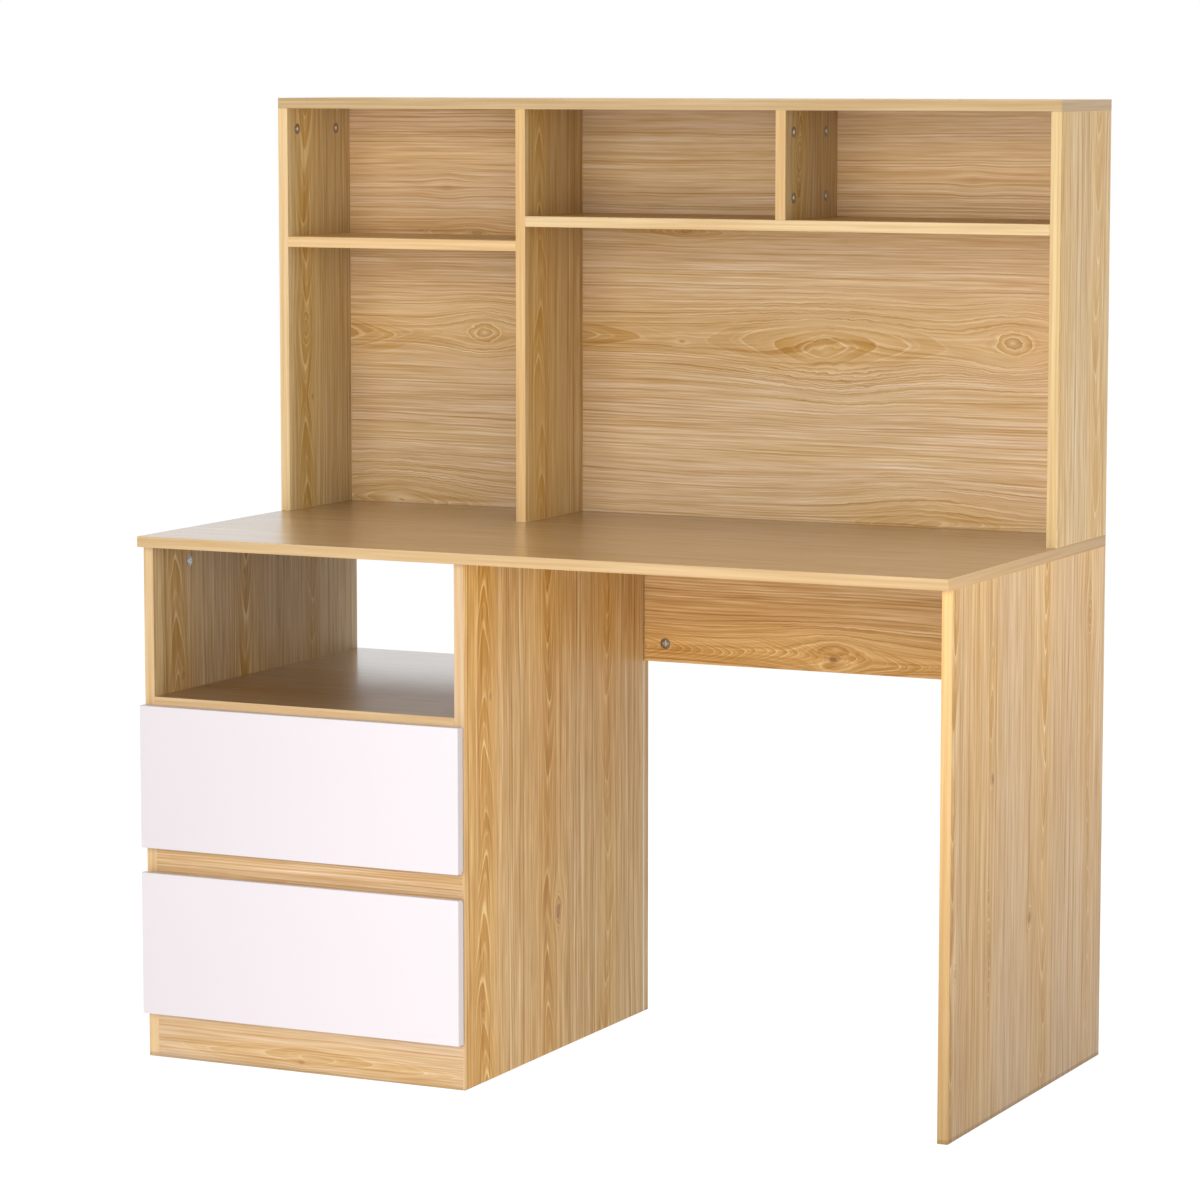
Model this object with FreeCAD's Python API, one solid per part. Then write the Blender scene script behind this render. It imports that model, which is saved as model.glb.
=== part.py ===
import FreeCAD, Part
import os

# Overall sizes of the desk and its hutch, in millimetres
desk_width = 1200.0
desk_depth = 600.0
desk_height = 735.0
hutch_height = 600.0
hutch_depth = 200.0
board = 15.0                    # thickness of every melamine board
edge_break = 0.5                # small chamfer along every board edge

# Drawer cabinet under the left end of the top
cabinet_width = 500.0
cubby_height = 210.0
shelf_reveal = 11.0             # shelf edge that shows above the upper drawer front
finger_gap = 35.0               # open strip between the two drawer fronts
plinth_reveal = 64.0            # plinth that shows under the lower drawer front
front_overlap = 12.0            # how far a front covers the rail and the plinth
front_inset = 1.0               # front's setback from the cabinet's outer faces
closing_gap = 2.0               # air between a closed front and the cabinet
rail_lip = 2.5                  # divider wood left standing beside the rail and plinth ends
finger_bevel = 6.0              # bevel behind the front's gripping edge

# Knee space and thin back
modesty_height = 200.0
groove_inset = 17.0             # from the rear edge to the front of the back groove
groove_width = 3.4
groove_depth = 5.0
thin_board = 3.0                # hardboard of the cabinet back and the drawer bottoms
thin_play = 0.5                 # end play of a thin board in its groove

# Hutch bays
left_bay_width = 370.0
left_upper_bay_height = 185.0
right_upper_bay_height = 150.0

# Drawer boxes
drawer_rear_space = 68.0        # free depth behind a closed drawer
box_rise = 25.0                 # from the front's lower edge to the box
box_drop = 25.0                 # from the front's upper edge to the box
bottom_rise = 10.0              # from the box's lower edge to its bottom board
drawer_travel = 400.0
bumper_radius = 4.0
bumper_height = 1.8
bumper_inset = 30.0             # from the front's upper and lower edges

# Ball runners, drawn from the cabinet side towards the drawer
runner_height = 45.0
runner_thickness = 13.0
runner_setback = 3.0
steel = 1.2
ball_radius = 1.6
ball_clearance = 0.3
track_gap = 2.2                 # between facing flanges on both sides of a ball row
tip_room = 2.0                  # from a flange tip to the drawer side
cage_sheet = 0.6
cage_gap = 0.4
cage_margin = 8.0
balls_per_row = 5
runner_screws = 3
runner_screw_inset = 35.0
screw_head_radius = 3.0
screw_radius = 1.6
screw_length = 11.0

# Cam fittings, dowels and box screws
cam_radius = 7.5
cam_floor = 2.5                 # wood left under a cam
cam_setback = 30.0              # from the joint to the cam's axis
cam_slot_length = 10.0
cam_slot_width = 1.8
cam_slot_depth = 2.2
modesty_cam_setback = 34.0
modesty_cam_rise = 27.0
bolt_radius = 3.0
bolt_bite = 7.0                 # bolt thread in the mating board
desk_cam_inset = 97.5           # from the panel's front and rear edges
hutch_cam_front_inset = 30.0
hutch_cam_rear_inset = 55.0
dowel_radius = 4.0
dowel_depth = 20.0              # dowel in a board's end
dowel_bite = 7.0                # dowel in a board's face
dowel_inset = 40.0
rail_dowel_inset = 15.0
box_screw_radius = 2.5
box_screw_head_radius = 4.5
box_screw_length = 40.0
box_fitting_inset = 30.0        # cams and screws, from the box's lower and upper edges
fit_clearance = 0.3             # around cams, bolts and dowels
screw_clearance = 0.1

# Places that follow from the sizes, origin at the middle of the footprint on the floor
x_axis = FreeCAD.Vector(1, 0, 0)
y_axis = FreeCAD.Vector(0, 1, 0)
z_axis = FreeCAD.Vector(0, 0, 1)
left_x = -desk_width / 2
right_x = desk_width / 2
left_inner_x = left_x + board
right_inner_x = right_x - board
divider_right_x = left_x + cabinet_width
divider_left_x = divider_right_x - board
cabinet_middle_x = (left_inner_x + divider_left_x) / 2
front_y = -desk_depth / 2
rear_y = desk_depth / 2
box_front_y = front_y + board
cabinet_front_y = box_front_y + closing_gap
rail_rear_y = cabinet_front_y + board
groove_front_y = rear_y - groove_inset
groove_rear_y = groove_front_y + groove_width
inner_rear_y = rear_y - board
panel_top_z = desk_height - board
cubby_floor_z = panel_top_z - cubby_height
shelf_under_z = cubby_floor_z - board
modesty_z = panel_top_z - modesty_height
front_height = (cubby_floor_z - shelf_reveal - plinth_reveal - finger_gap) / 2
front_z = {"lower": plinth_reveal, "upper": plinth_reveal + front_height + finger_gap}
plinth_height = plinth_reveal + front_overlap
rail_z = front_z["lower"] + front_height - front_overlap
rail_top_z = front_z["upper"] + front_overlap
rail_end_x = divider_right_x - rail_lip
hutch_front_y = rear_y - hutch_depth
hutch_under_top_z = desk_height + hutch_height - board
hutch_divider_left_x = left_inner_x + left_bay_width
hutch_divider_right_x = hutch_divider_left_x + board
left_shelf_top_z = hutch_under_top_z - left_upper_bay_height
right_shelf_top_z = hutch_under_top_z - right_upper_bay_height
small_divider_x = (hutch_divider_right_x + right_inner_x - board) / 2
box_height = front_height - box_rise - box_drop
box_rear_y = groove_front_y - drawer_rear_space
box_left_x = left_inner_x + runner_thickness
box_right_x = divider_left_x - runner_thickness
cam_height = board - cam_floor

boards = {}
cutters = {}
groups = {}


def add_board(name, x_span, y_span, z_span):
    """Keep a board that fills three spans, with every edge broken."""
    corner = FreeCAD.Vector(x_span[0], y_span[0], z_span[0])
    size = (x_span[1] - x_span[0], y_span[1] - y_span[0], z_span[1] - z_span[0])
    block = Part.makeBox(*size, corner)
    boards[name] = block.makeChamfer(edge_break, block.Edges)
    cutters[name] = []


def add_cut(name, x_span, y_span, z_span):
    """Keep a box shaped cut for a board."""
    corner = FreeCAD.Vector(x_span[0], y_span[0], z_span[0])
    size = (x_span[1] - x_span[0], y_span[1] - y_span[0], z_span[1] - z_span[0])
    cutters[name].append(Part.makeBox(*size, corner))


def prism(points, direction):
    """A closed outline pushed along a direction."""
    outline = Part.makePolygon(points + points[:1])
    return Part.Face(outline).extrude(direction)


def mirrored(shape):
    """The same piece on the other side of the drawer cabinet."""
    return shape.mirror(FreeCAD.Vector(cabinet_middle_x, 0, 0), x_axis)


def cam_body():
    """A cam drawn with its face at the origin, +Z out of the board and its bolt coming from +X."""
    body = Part.makeCylinder(cam_radius, cam_height, FreeCAD.Vector(0, 0, -cam_height))
    bore_start = FreeCAD.Vector(0, 0, -board / 2)
    bore = Part.makeCylinder(bolt_radius + fit_clearance, 2 * cam_radius, bore_start, x_axis)
    half = cam_slot_length / 2
    side = cam_slot_width / 2
    long_corner = FreeCAD.Vector(-half, -side, -cam_slot_depth)
    cross_corner = FreeCAD.Vector(-side, -half, -cam_slot_depth)
    long_slot = Part.makeBox(cam_slot_length, cam_slot_width, cam_slot_depth, long_corner)
    cross_slot = Part.makeBox(cam_slot_width, cam_slot_length, cam_slot_depth, cross_corner)
    return body.cut([bore, long_slot, cross_slot])


cam_template = cam_body()


def add_cam(holder, mate, seat, outward, along, setback, cam_group, bolt_group):
    """Seat a cam in the holder's face and its bolt across the joint into the mating board."""
    turn = FreeCAD.Rotation(along, outward.cross(along), outward, "XZY")
    cam = cam_template.copy()
    cam.Placement = FreeCAD.Placement(seat, turn)
    groups.setdefault(cam_group, []).append(cam)
    axis_start = seat - outward * (board / 2)
    joint = axis_start + along * setback
    bolt = Part.makeCylinder(bolt_radius, setback + bolt_bite, axis_start, along)
    groups.setdefault(bolt_group, []).append(bolt)
    bolt_room = bolt_radius + fit_clearance
    cutters[holder].append(Part.makeCylinder(cam_radius + fit_clearance, cam_height, seat, -outward))
    cutters[holder].append(Part.makeCylinder(bolt_room, setback, axis_start, along))
    cutters[mate].append(Part.makeCylinder(bolt_room, bolt_bite, joint, along))


def add_dowel(end_board, face_board, joint, along):
    """Seat a dowel in a board's end and, across the joint, in the other board's face."""
    start = joint - along * dowel_depth
    room = dowel_radius + fit_clearance
    dowel = Part.makeCylinder(dowel_radius, dowel_depth + dowel_bite, start, along)
    groups.setdefault("wooden_dowels", []).append(dowel)
    cutters[end_board].append(Part.makeCylinder(room, dowel_depth, start, along))
    cutters[face_board].append(Part.makeCylinder(room, dowel_bite, joint, along))


def screw(seat, along, head_radius, radius, length, play):
    """A countersunk screw, or with play the hole for it, pushed in from its seat."""
    head_height = head_radius - radius
    head = Part.makeCone(head_radius + play, radius + play, head_height, seat, along)
    shank = Part.makeCylinder(radius + play, length - head_height, seat + along * head_height, along)
    return head.fuse(shank)


# Desk boards
side_span = (cabinet_front_y, rear_y)
cabinet_x_span = (left_inner_x, divider_left_x)
rail_x_span = (left_inner_x, rail_end_x)
add_board("desk_top", (left_x, right_x), (front_y, rear_y), (panel_top_z, desk_height))
add_board("left_side_panel", (left_x, left_inner_x), side_span, (0, panel_top_z))
add_board("cabinet_divider", (divider_left_x, divider_right_x), side_span, (0, panel_top_z))
add_board("right_side_panel", (right_inner_x, right_x), side_span, (0, panel_top_z))
add_board("modesty_panel", (divider_right_x, right_inner_x), (inner_rear_y, rear_y), (modesty_z, panel_top_z))
add_board("cubby_shelf", cabinet_x_span, side_span, (shelf_under_z, cubby_floor_z))
add_board("plinth", rail_x_span, (cabinet_front_y, rail_rear_y), (0, plinth_height))
add_board("drawer_rail", rail_x_span, (cabinet_front_y, rail_rear_y), (rail_z, rail_top_z))
bottom_z = plinth_height - board
add_board("cabinet_bottom", cabinet_x_span, (rail_rear_y, groove_front_y), (bottom_z, plinth_height))

# Notches in the divider's front edge for the rail and the plinth
notch_x_span = (divider_left_x, rail_end_x)
add_cut("cabinet_divider", notch_x_span, (cabinet_front_y, rail_rear_y), (0, plinth_height))
add_cut("cabinet_divider", notch_x_span, (cabinet_front_y, rail_rear_y), (rail_z, rail_top_z))

# Thin cabinet back in grooves of the side, the divider and the shelf
groove_y_span = (groove_front_y, groove_rear_y)
thin_y = (groove_front_y + groove_rear_y - thin_board) / 2
thin_reach = groove_depth - thin_play
add_cut("left_side_panel", (left_inner_x - groove_depth, left_inner_x), groove_y_span, (0, cubby_floor_z))
add_cut("cabinet_divider", (divider_left_x, divider_left_x + groove_depth), groove_y_span, (0, cubby_floor_z))
add_cut("cubby_shelf", cabinet_x_span, groove_y_span, (shelf_under_z, shelf_under_z + groove_depth))
back_width = divider_left_x - left_inner_x + 2 * thin_reach
back_height = shelf_under_z + thin_reach - bottom_z
back_corner = FreeCAD.Vector(left_inner_x - thin_reach, thin_y, bottom_z)
boards["cabinet_back"] = Part.makeBox(back_width, thin_board, back_height, back_corner)
cutters["cabinet_back"] = []

# Full height groove on the divider's knee side, closed below the modesty panel by a pale strip
knee_groove_x = divider_right_x - groove_depth
add_cut("cabinet_divider", (knee_groove_x, divider_right_x), groove_y_span, (0, panel_top_z))
strip_corner = FreeCAD.Vector(knee_groove_x, thin_y, 0)
boards["divider_groove_strip"] = Part.makeBox(groove_depth, thin_board, modesty_z, strip_corner)
cutters["divider_groove_strip"] = []

# Hutch boards
hutch_span = (hutch_front_y, rear_y)
hutch_inner_span = (hutch_front_y, inner_rear_y)
hutch_back_span = (inner_rear_y, rear_y)
hutch_z_span = (desk_height, hutch_under_top_z)
left_bay_span = (left_inner_x, hutch_divider_left_x)
right_bay_span = (hutch_divider_right_x, right_inner_x)
small_divider_span = (small_divider_x, small_divider_x + board)
hutch_top_z_span = (hutch_under_top_z, hutch_under_top_z + board)
add_board("hutch_top", (left_x, right_x), hutch_span, hutch_top_z_span)
add_board("hutch_left_side", (left_x, left_inner_x), hutch_span, hutch_z_span)
add_board("hutch_right_side", (right_inner_x, right_x), hutch_span, hutch_z_span)
add_board("hutch_divider", (hutch_divider_left_x, hutch_divider_right_x), hutch_span, hutch_z_span)
left_shelf_z_span = (left_shelf_top_z - board, left_shelf_top_z)
right_shelf_z_span = (right_shelf_top_z - board, right_shelf_top_z)
add_board("hutch_left_shelf", left_bay_span, hutch_inner_span, left_shelf_z_span)
add_board("hutch_right_shelf", right_bay_span, hutch_inner_span, right_shelf_z_span)
add_board("hutch_small_divider", small_divider_span, hutch_inner_span, (right_shelf_top_z, hutch_under_top_z))
add_board("hutch_back_left", left_bay_span, hutch_back_span, hutch_z_span)
add_board("hutch_back_right", right_bay_span, hutch_back_span, hutch_z_span)

# Cams that hold upright boards to the board above or below them
desk_cam_ys = (cabinet_front_y + desk_cam_inset, rear_y - desk_cam_inset)
hutch_cam_ys = (hutch_front_y + hutch_cam_front_inset, rear_y - hutch_cam_rear_inset)
desk_cam_z = panel_top_z - cam_setback
hutch_cam_z = hutch_under_top_z - cam_setback
upright_joints = [
    ("left_side_panel", "desk_top", left_inner_x, x_axis, desk_cam_ys, desk_cam_z, z_axis),
    ("cabinet_divider", "desk_top", divider_left_x, -x_axis, desk_cam_ys, desk_cam_z, z_axis),
    ("right_side_panel", "desk_top", right_inner_x, -x_axis, desk_cam_ys, desk_cam_z, z_axis),
    ("hutch_left_side", "hutch_top", left_inner_x, x_axis, hutch_cam_ys, hutch_cam_z, z_axis),
    ("hutch_divider", "hutch_top", hutch_divider_left_x, -x_axis, hutch_cam_ys, hutch_cam_z, z_axis),
    ("hutch_right_side", "hutch_top", right_inner_x, -x_axis, hutch_cam_ys, hutch_cam_z, z_axis),
    ("hutch_small_divider", "hutch_top", small_divider_span[1], x_axis, hutch_cam_ys, hutch_cam_z, z_axis),
    ("hutch_small_divider", "hutch_right_shelf", small_divider_span[1], x_axis, hutch_cam_ys,
     right_shelf_top_z + cam_setback, -z_axis),
]
for holder, mate, x, outward, ys, z, along in upright_joints:
    for y in ys:
        add_cam(holder, mate, FreeCAD.Vector(x, y, z), outward, along, cam_setback, "cam_locks", "cam_bolts")

# Cams under the shelves and the cabinet bottom
shelf_joints = [
    ("cubby_shelf", cabinet_x_span, "left_side_panel", "cabinet_divider", desk_cam_ys, shelf_under_z),
    ("cabinet_bottom", cabinet_x_span, "left_side_panel", "cabinet_divider", desk_cam_ys, bottom_z),
    ("hutch_left_shelf", left_bay_span, "hutch_left_side", "hutch_divider", hutch_cam_ys,
     left_shelf_z_span[0]),
    ("hutch_right_shelf", right_bay_span, "hutch_divider", "hutch_right_side", hutch_cam_ys,
     right_shelf_z_span[0]),
]
for holder, x_span, left_mate, right_mate, ys, z in shelf_joints:
    for y in ys:
        left_seat = FreeCAD.Vector(x_span[0] + cam_setback, y, z)
        right_seat = FreeCAD.Vector(x_span[1] - cam_setback, y, z)
        add_cam(holder, left_mate, left_seat, -z_axis, -x_axis, cam_setback, "cam_locks", "cam_bolts")
        add_cam(holder, right_mate, right_seat, -z_axis, x_axis, cam_setback, "cam_locks", "cam_bolts")

# Modesty panel: a cam low at each end and a dowel high at each end
modesty_ends = [
    (divider_right_x, -x_axis, "cabinet_divider"),
    (right_inner_x, x_axis, "right_side_panel"),
]
for end_x, along, mate in modesty_ends:
    seat = FreeCAD.Vector(end_x, inner_rear_y, modesty_z + modesty_cam_rise) - along * modesty_cam_setback
    add_cam("modesty_panel", mate, seat, -y_axis, along, modesty_cam_setback, "cam_locks", "cam_bolts")
    joint = FreeCAD.Vector(end_x, (inner_rear_y + rear_y) / 2, panel_top_z - dowel_inset)
    add_dowel("modesty_panel", mate, joint, along)

# Dowels of the rail and the plinth, into the side panel and into the divider's notches
rail_middle_y = (cabinet_front_y + rail_rear_y) / 2
notch_middle_x = (divider_left_x + rail_end_x) / 2
rail_dowels = [
    ("plinth", (rail_dowel_inset, bottom_z - rail_dowel_inset)),
    ("drawer_rail", (rail_z + rail_dowel_inset, rail_top_z - rail_dowel_inset)),
]
for name, heights in rail_dowels:
    for z in heights:
        add_dowel(name, "left_side_panel", FreeCAD.Vector(left_inner_x, rail_middle_y, z), -x_axis)
        add_dowel("cabinet_divider", name, FreeCAD.Vector(notch_middle_x, rail_rear_y, z), -y_axis)
for x in (left_inner_x + 2 * dowel_inset, cabinet_middle_x, divider_left_x - 2 * dowel_inset):
    joint = FreeCAD.Vector(x, rail_rear_y, plinth_height - board / 2)
    add_dowel("cabinet_bottom", "plinth", joint, -y_axis)

# Dowels of the hutch: uprights and backs stand on the desk top, backs meet the uprights
hutch_uprights = [
    ("hutch_left_side", left_x + board / 2),
    ("hutch_divider", hutch_divider_left_x + board / 2),
    ("hutch_right_side", right_x - board / 2),
]
for name, x in hutch_uprights:
    for y in (hutch_front_y + dowel_inset, inner_rear_y - dowel_inset):
        add_dowel(name, "desk_top", FreeCAD.Vector(x, y, desk_height), -z_axis)
back_joints = [
    ("hutch_back_left", left_bay_span, "hutch_left_side", "hutch_divider"),
    ("hutch_back_right", right_bay_span, "hutch_divider", "hutch_right_side"),
]
back_middle_y = (inner_rear_y + rear_y) / 2
for name, x_span, left_mate, right_mate in back_joints:
    for z in (desk_height + 2 * dowel_inset, hutch_under_top_z - 2 * dowel_inset):
        add_dowel(name, left_mate, FreeCAD.Vector(x_span[0], back_middle_y, z), -x_axis)
        add_dowel(name, right_mate, FreeCAD.Vector(x_span[1], back_middle_y, z), x_axis)
    for x in (x_span[0] + 2 * dowel_inset, x_span[1] - 2 * dowel_inset):
        add_dowel(name, "desk_top", FreeCAD.Vector(x, back_middle_y, desk_height), -z_axis)


def add_drawer(level):
    """One drawer box with its white front, bottom board, bumpers, cams and box screws."""
    front = level + "_drawer_front"
    left = level + "_drawer_left_side"
    right = level + "_drawer_right_side"
    back = level + "_drawer_back"
    bottom = level + "_drawer_bottom"
    fasteners = level + "_drawer_fasteners"
    z0 = front_z[level]
    z1 = z0 + front_height
    box_z_span = (z0 + box_rise, z1 - box_drop)
    box_y_span = (box_front_y, box_rear_y)
    inner_x_span = (box_left_x + board, box_right_x - board)
    back_y_span = (box_rear_y - board, box_rear_y)
    add_board(front, (left_x + front_inset, divider_right_x - front_inset), (front_y, box_front_y), (z0, z1))
    add_board(left, (box_left_x, inner_x_span[0]), box_y_span, box_z_span)
    add_board(right, (inner_x_span[1], box_right_x), box_y_span, box_z_span)
    add_board(back, inner_x_span, back_y_span, box_z_span)

    # Finger bevel behind the edge that faces the gap between the fronts
    grip_z = z1 if level == "lower" else z0
    inward = -finger_bevel if level == "lower" else finger_bevel
    bevel_points = [
        FreeCAD.Vector(left_x, box_front_y, grip_z),
        FreeCAD.Vector(left_x, box_front_y - finger_bevel, grip_z),
        FreeCAD.Vector(left_x, box_front_y, grip_z + inward),
    ]
    cutters[front].append(prism(bevel_points, x_axis * cabinet_width))

    # Bottom board in grooves of the front, the sides and the back
    groove_z_span = (box_z_span[0] + bottom_rise, box_z_span[0] + bottom_rise + groove_width)
    wide_x_span = (inner_x_span[0] - groove_depth, inner_x_span[1] + groove_depth)
    add_cut(front, wide_x_span, (box_front_y - groove_depth, box_front_y), groove_z_span)
    add_cut(left, (wide_x_span[0], inner_x_span[0]), box_y_span, groove_z_span)
    add_cut(right, (inner_x_span[1], wide_x_span[1]), box_y_span, groove_z_span)
    add_cut(back, inner_x_span, (back_y_span[0], back_y_span[0] + groove_depth), groove_z_span)
    bottom_corner = FreeCAD.Vector(inner_x_span[0] - thin_reach, box_front_y - thin_reach, groove_z_span[0])
    bottom_width = inner_x_span[1] - inner_x_span[0] + 2 * thin_reach
    bottom_length = back_y_span[0] - box_front_y + 2 * thin_reach
    boards[bottom] = Part.makeBox(bottom_width, bottom_length, thin_board, bottom_corner)
    cutters[bottom] = []

    # Cams from the sides into the front, screws from the sides into the back
    screw_y = box_rear_y - board / 2
    for z in (box_z_span[0] + box_fitting_inset, box_z_span[1] - box_fitting_inset):
        for side, face_x, outward in ((left, inner_x_span[0], x_axis), (right, inner_x_span[1], -x_axis)):
            seat = FreeCAD.Vector(face_x, box_front_y + cam_setback, z)
            add_cam(side, front, seat, outward, -y_axis, cam_setback, fasteners, fasteners)
            screw_seat = FreeCAD.Vector(face_x, screw_y, z) - outward * board
            sizes = (box_screw_head_radius, box_screw_radius, box_screw_length)
            groups[fasteners].append(screw(screw_seat, outward, *sizes, 0))
            cutters[side].append(screw(screw_seat, outward, *sizes, screw_clearance))
            cutters[back].append(screw(screw_seat, outward, *sizes, screw_clearance))

    # Rubber bumpers behind the front, over the edges of the cabinet's uprights
    for x in (left_x + board / 2, divider_right_x - board / 2):
        for z in (z0 + bumper_inset, z1 - bumper_inset):
            seat = FreeCAD.Vector(x, box_front_y, z)
            bumper = Part.makeCylinder(bumper_radius, bumper_height, seat, y_axis)
            groups.setdefault(level + "_drawer_bumpers", []).append(bumper)


def channel(web_x, tip_x, outer_z, inner_z, middle_z, y_span):
    """A C shaped runner rail: a web at web_x and two flanges that reach tip_x."""
    web_inner_x = web_x + steel if tip_x > web_x else web_x - steel
    outline = [
        (web_x, -outer_z), (tip_x, -outer_z), (tip_x, -inner_z), (web_inner_x, -inner_z),
        (web_inner_x, inner_z), (tip_x, inner_z), (tip_x, outer_z), (web_x, outer_z),
    ]
    points = [FreeCAD.Vector(x, y_span[0], middle_z + z) for x, z in outline]
    return prism(points, y_axis * (y_span[1] - y_span[0]))


def ball_tracks(x, z, middle_z, y_span):
    """The two round tracks that a runner's ball rows roll in."""
    radius = ball_radius + ball_clearance
    length = y_span[1] - y_span[0]
    starts = [FreeCAD.Vector(x, y_span[0], middle_z + side * z) for side in (-1, 1)]
    return [Part.makeCylinder(radius, length, start, y_axis) for start in starts]


def ball_cage(web_x, tip_x, ball_x, ball_z, middle_z, y_span):
    """A ball cage, a thin channel with a hole for each ball, and its balls."""
    pitch = (y_span[1] - y_span[0]) / balls_per_row
    half = cage_sheet / 2
    outline = [
        (web_x, -ball_z - half), (tip_x, -ball_z - half), (tip_x, -ball_z + half),
        (web_x + cage_sheet, -ball_z + half), (web_x + cage_sheet, ball_z - half),
        (tip_x, ball_z - half), (tip_x, ball_z + half), (web_x, ball_z + half),
    ]
    points = [FreeCAD.Vector(x, y_span[0], middle_z + z) for x, z in outline]
    sheet = prism(points, y_axis * (y_span[1] - y_span[0]))
    holes = []
    balls = []
    for index in range(balls_per_row):
        y = y_span[0] + (index + 0.5) * pitch
        for side in (-1, 1):
            centre = FreeCAD.Vector(ball_x, y, middle_z + side * ball_z)
            start = centre - z_axis * (2 * cage_sheet)
            holes.append(Part.makeCylinder(ball_radius + ball_clearance, 4 * cage_sheet, start))
            balls.append(Part.makeSphere(ball_radius, centre))
    return sheet.cut(holes), balls


def add_runners(level):
    """The left and right three-part ball runners of one drawer."""
    middle_z = front_z[level] + box_rise + box_height / 2
    y0 = cabinet_front_y + runner_setback
    y_span = (y0, box_rear_y)
    cage_start = drawer_travel / 4 + cage_margin
    cage_span = (y0 + cage_start, box_rear_y - cage_start)

    # Heights of the ball rows and flanges, from the runner's middle outwards
    track_radius = ball_radius + ball_clearance
    land = track_gap / 2
    outer_ball_z = runner_height / 2 - steel - track_radius
    inner_ball_z = outer_ball_z - 2 * track_radius - steel
    drawer_flange_z = inner_ball_z - track_radius - steel

    # Places of the webs, flange tips and ball rows, from the cabinet side towards the drawer
    outer_cage_x = left_inner_x + steel + cage_gap
    middle_x = outer_cage_x + cage_sheet + cage_gap
    inner_cage_x = middle_x + steel + cage_gap
    drawer_tip_x = inner_cage_x + cage_sheet + cage_gap
    tip_x = box_left_x - tip_room
    outer_ball_x = (middle_x + tip_x) / 2
    inner_ball_x = (drawer_tip_x + tip_x) / 2
    cage_wall = ball_radius + 2 * ball_clearance + cage_sheet

    cabinet_rail = channel(left_inner_x, tip_x, runner_height / 2, outer_ball_z + land, middle_z, y_span)
    middle_rail = channel(middle_x, tip_x, outer_ball_z - land, inner_ball_z + land, middle_z, y_span)
    drawer_rail = channel(box_left_x, drawer_tip_x, inner_ball_z - land, drawer_flange_z, middle_z, y_span)
    outer_tracks = ball_tracks(outer_ball_x, outer_ball_z, middle_z, y_span)
    inner_tracks = ball_tracks(inner_ball_x, inner_ball_z, middle_z, y_span)
    cabinet_rail = cabinet_rail.cut(outer_tracks)
    middle_rail = middle_rail.cut(outer_tracks + inner_tracks)
    drawer_rail = drawer_rail.cut(inner_tracks)
    outer_row = (outer_ball_x, outer_ball_z, middle_z, cage_span)
    inner_row = (inner_ball_x, inner_ball_z, middle_z, cage_span)
    outer_cage, outer_balls = ball_cage(outer_cage_x, outer_ball_x + cage_wall, *outer_row)
    inner_cage, inner_balls = ball_cage(inner_cage_x, inner_ball_x + cage_wall, *inner_row)

    # Countersunk screws through both fixed webs
    first_y = y0 + runner_screw_inset
    step = (box_rear_y - runner_screw_inset - first_y) / (runner_screws - 1)
    sizes = (screw_head_radius, screw_radius, screw_length)
    for index in range(runner_screws):
        y = first_y + index * step
        cabinet_seat = FreeCAD.Vector(left_inner_x + steel, y, middle_z)
        drawer_seat = FreeCAD.Vector(box_left_x - steel, y, middle_z)
        cabinet_hole = screw(cabinet_seat, -x_axis, *sizes, screw_clearance)
        drawer_hole = screw(drawer_seat, x_axis, *sizes, screw_clearance)
        cabinet_rail = cabinet_rail.cut(cabinet_hole)
        drawer_rail = drawer_rail.cut(drawer_hole)
        cutters["left_side_panel"].append(cabinet_hole)
        cutters["cabinet_divider"].append(mirrored(cabinet_hole))
        cutters[level + "_drawer_left_side"].append(drawer_hole)
        cutters[level + "_drawer_right_side"].append(mirrored(drawer_hole))
        cabinet_screw = screw(cabinet_seat, -x_axis, *sizes, 0)
        drawer_screw = screw(drawer_seat, x_axis, *sizes, 0)
        groups.setdefault("runner_screws", []).extend([cabinet_screw, mirrored(cabinet_screw)])
        groups[level + "_drawer_fasteners"].extend([drawer_screw, mirrored(drawer_screw)])

    rails = {"cabinet_rail": cabinet_rail, "middle_rail": middle_rail, "drawer_rail": drawer_rail}
    for name, rail in rails.items():
        groups[level + "_left_runner_" + name] = [rail]
        groups[level + "_right_runner_" + name] = [mirrored(rail)]
    groups[level + "_outer_ball_cages"] = [outer_cage, mirrored(outer_cage)]
    groups[level + "_inner_ball_cages"] = [inner_cage, mirrored(inner_cage)]
    groups[level + "_outer_runner_balls"] = outer_balls + [mirrored(ball) for ball in outer_balls]
    groups[level + "_inner_runner_balls"] = inner_balls + [mirrored(ball) for ball in inner_balls]


for level in ("upper", "lower"):
    add_drawer(level)
    add_runners(level)

# One file for each board and for each group of like pieces
os.makedirs("parts", exist_ok=True)
for name, solid in boards.items():
    finished = solid.cut(cutters[name]) if cutters[name] else solid
    finished.exportStep("parts/" + name + ".step")
for name, solids in groups.items():
    Part.makeCompound(solids).exportStep("parts/" + name + ".step")
print(len(boards) + len(groups), "nodes written")
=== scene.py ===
# %% [markdown]
# # A student desk with a hutch, dressed in light oak
#
# The real desk is flat-pack furniture. Its boards are chipboard pressed between two sheets of printed,
# resin-soaked paper, with a thin band ironed over each cut edge. The shapes are already right in the packed
# frame, so this lesson keeps every board where it is and spends its effort on the finishes: the printed oak
# figure, the pale edge bands, the satin white drawer fronts, and the metal inside.

# %% Load the frame
import math

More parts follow.
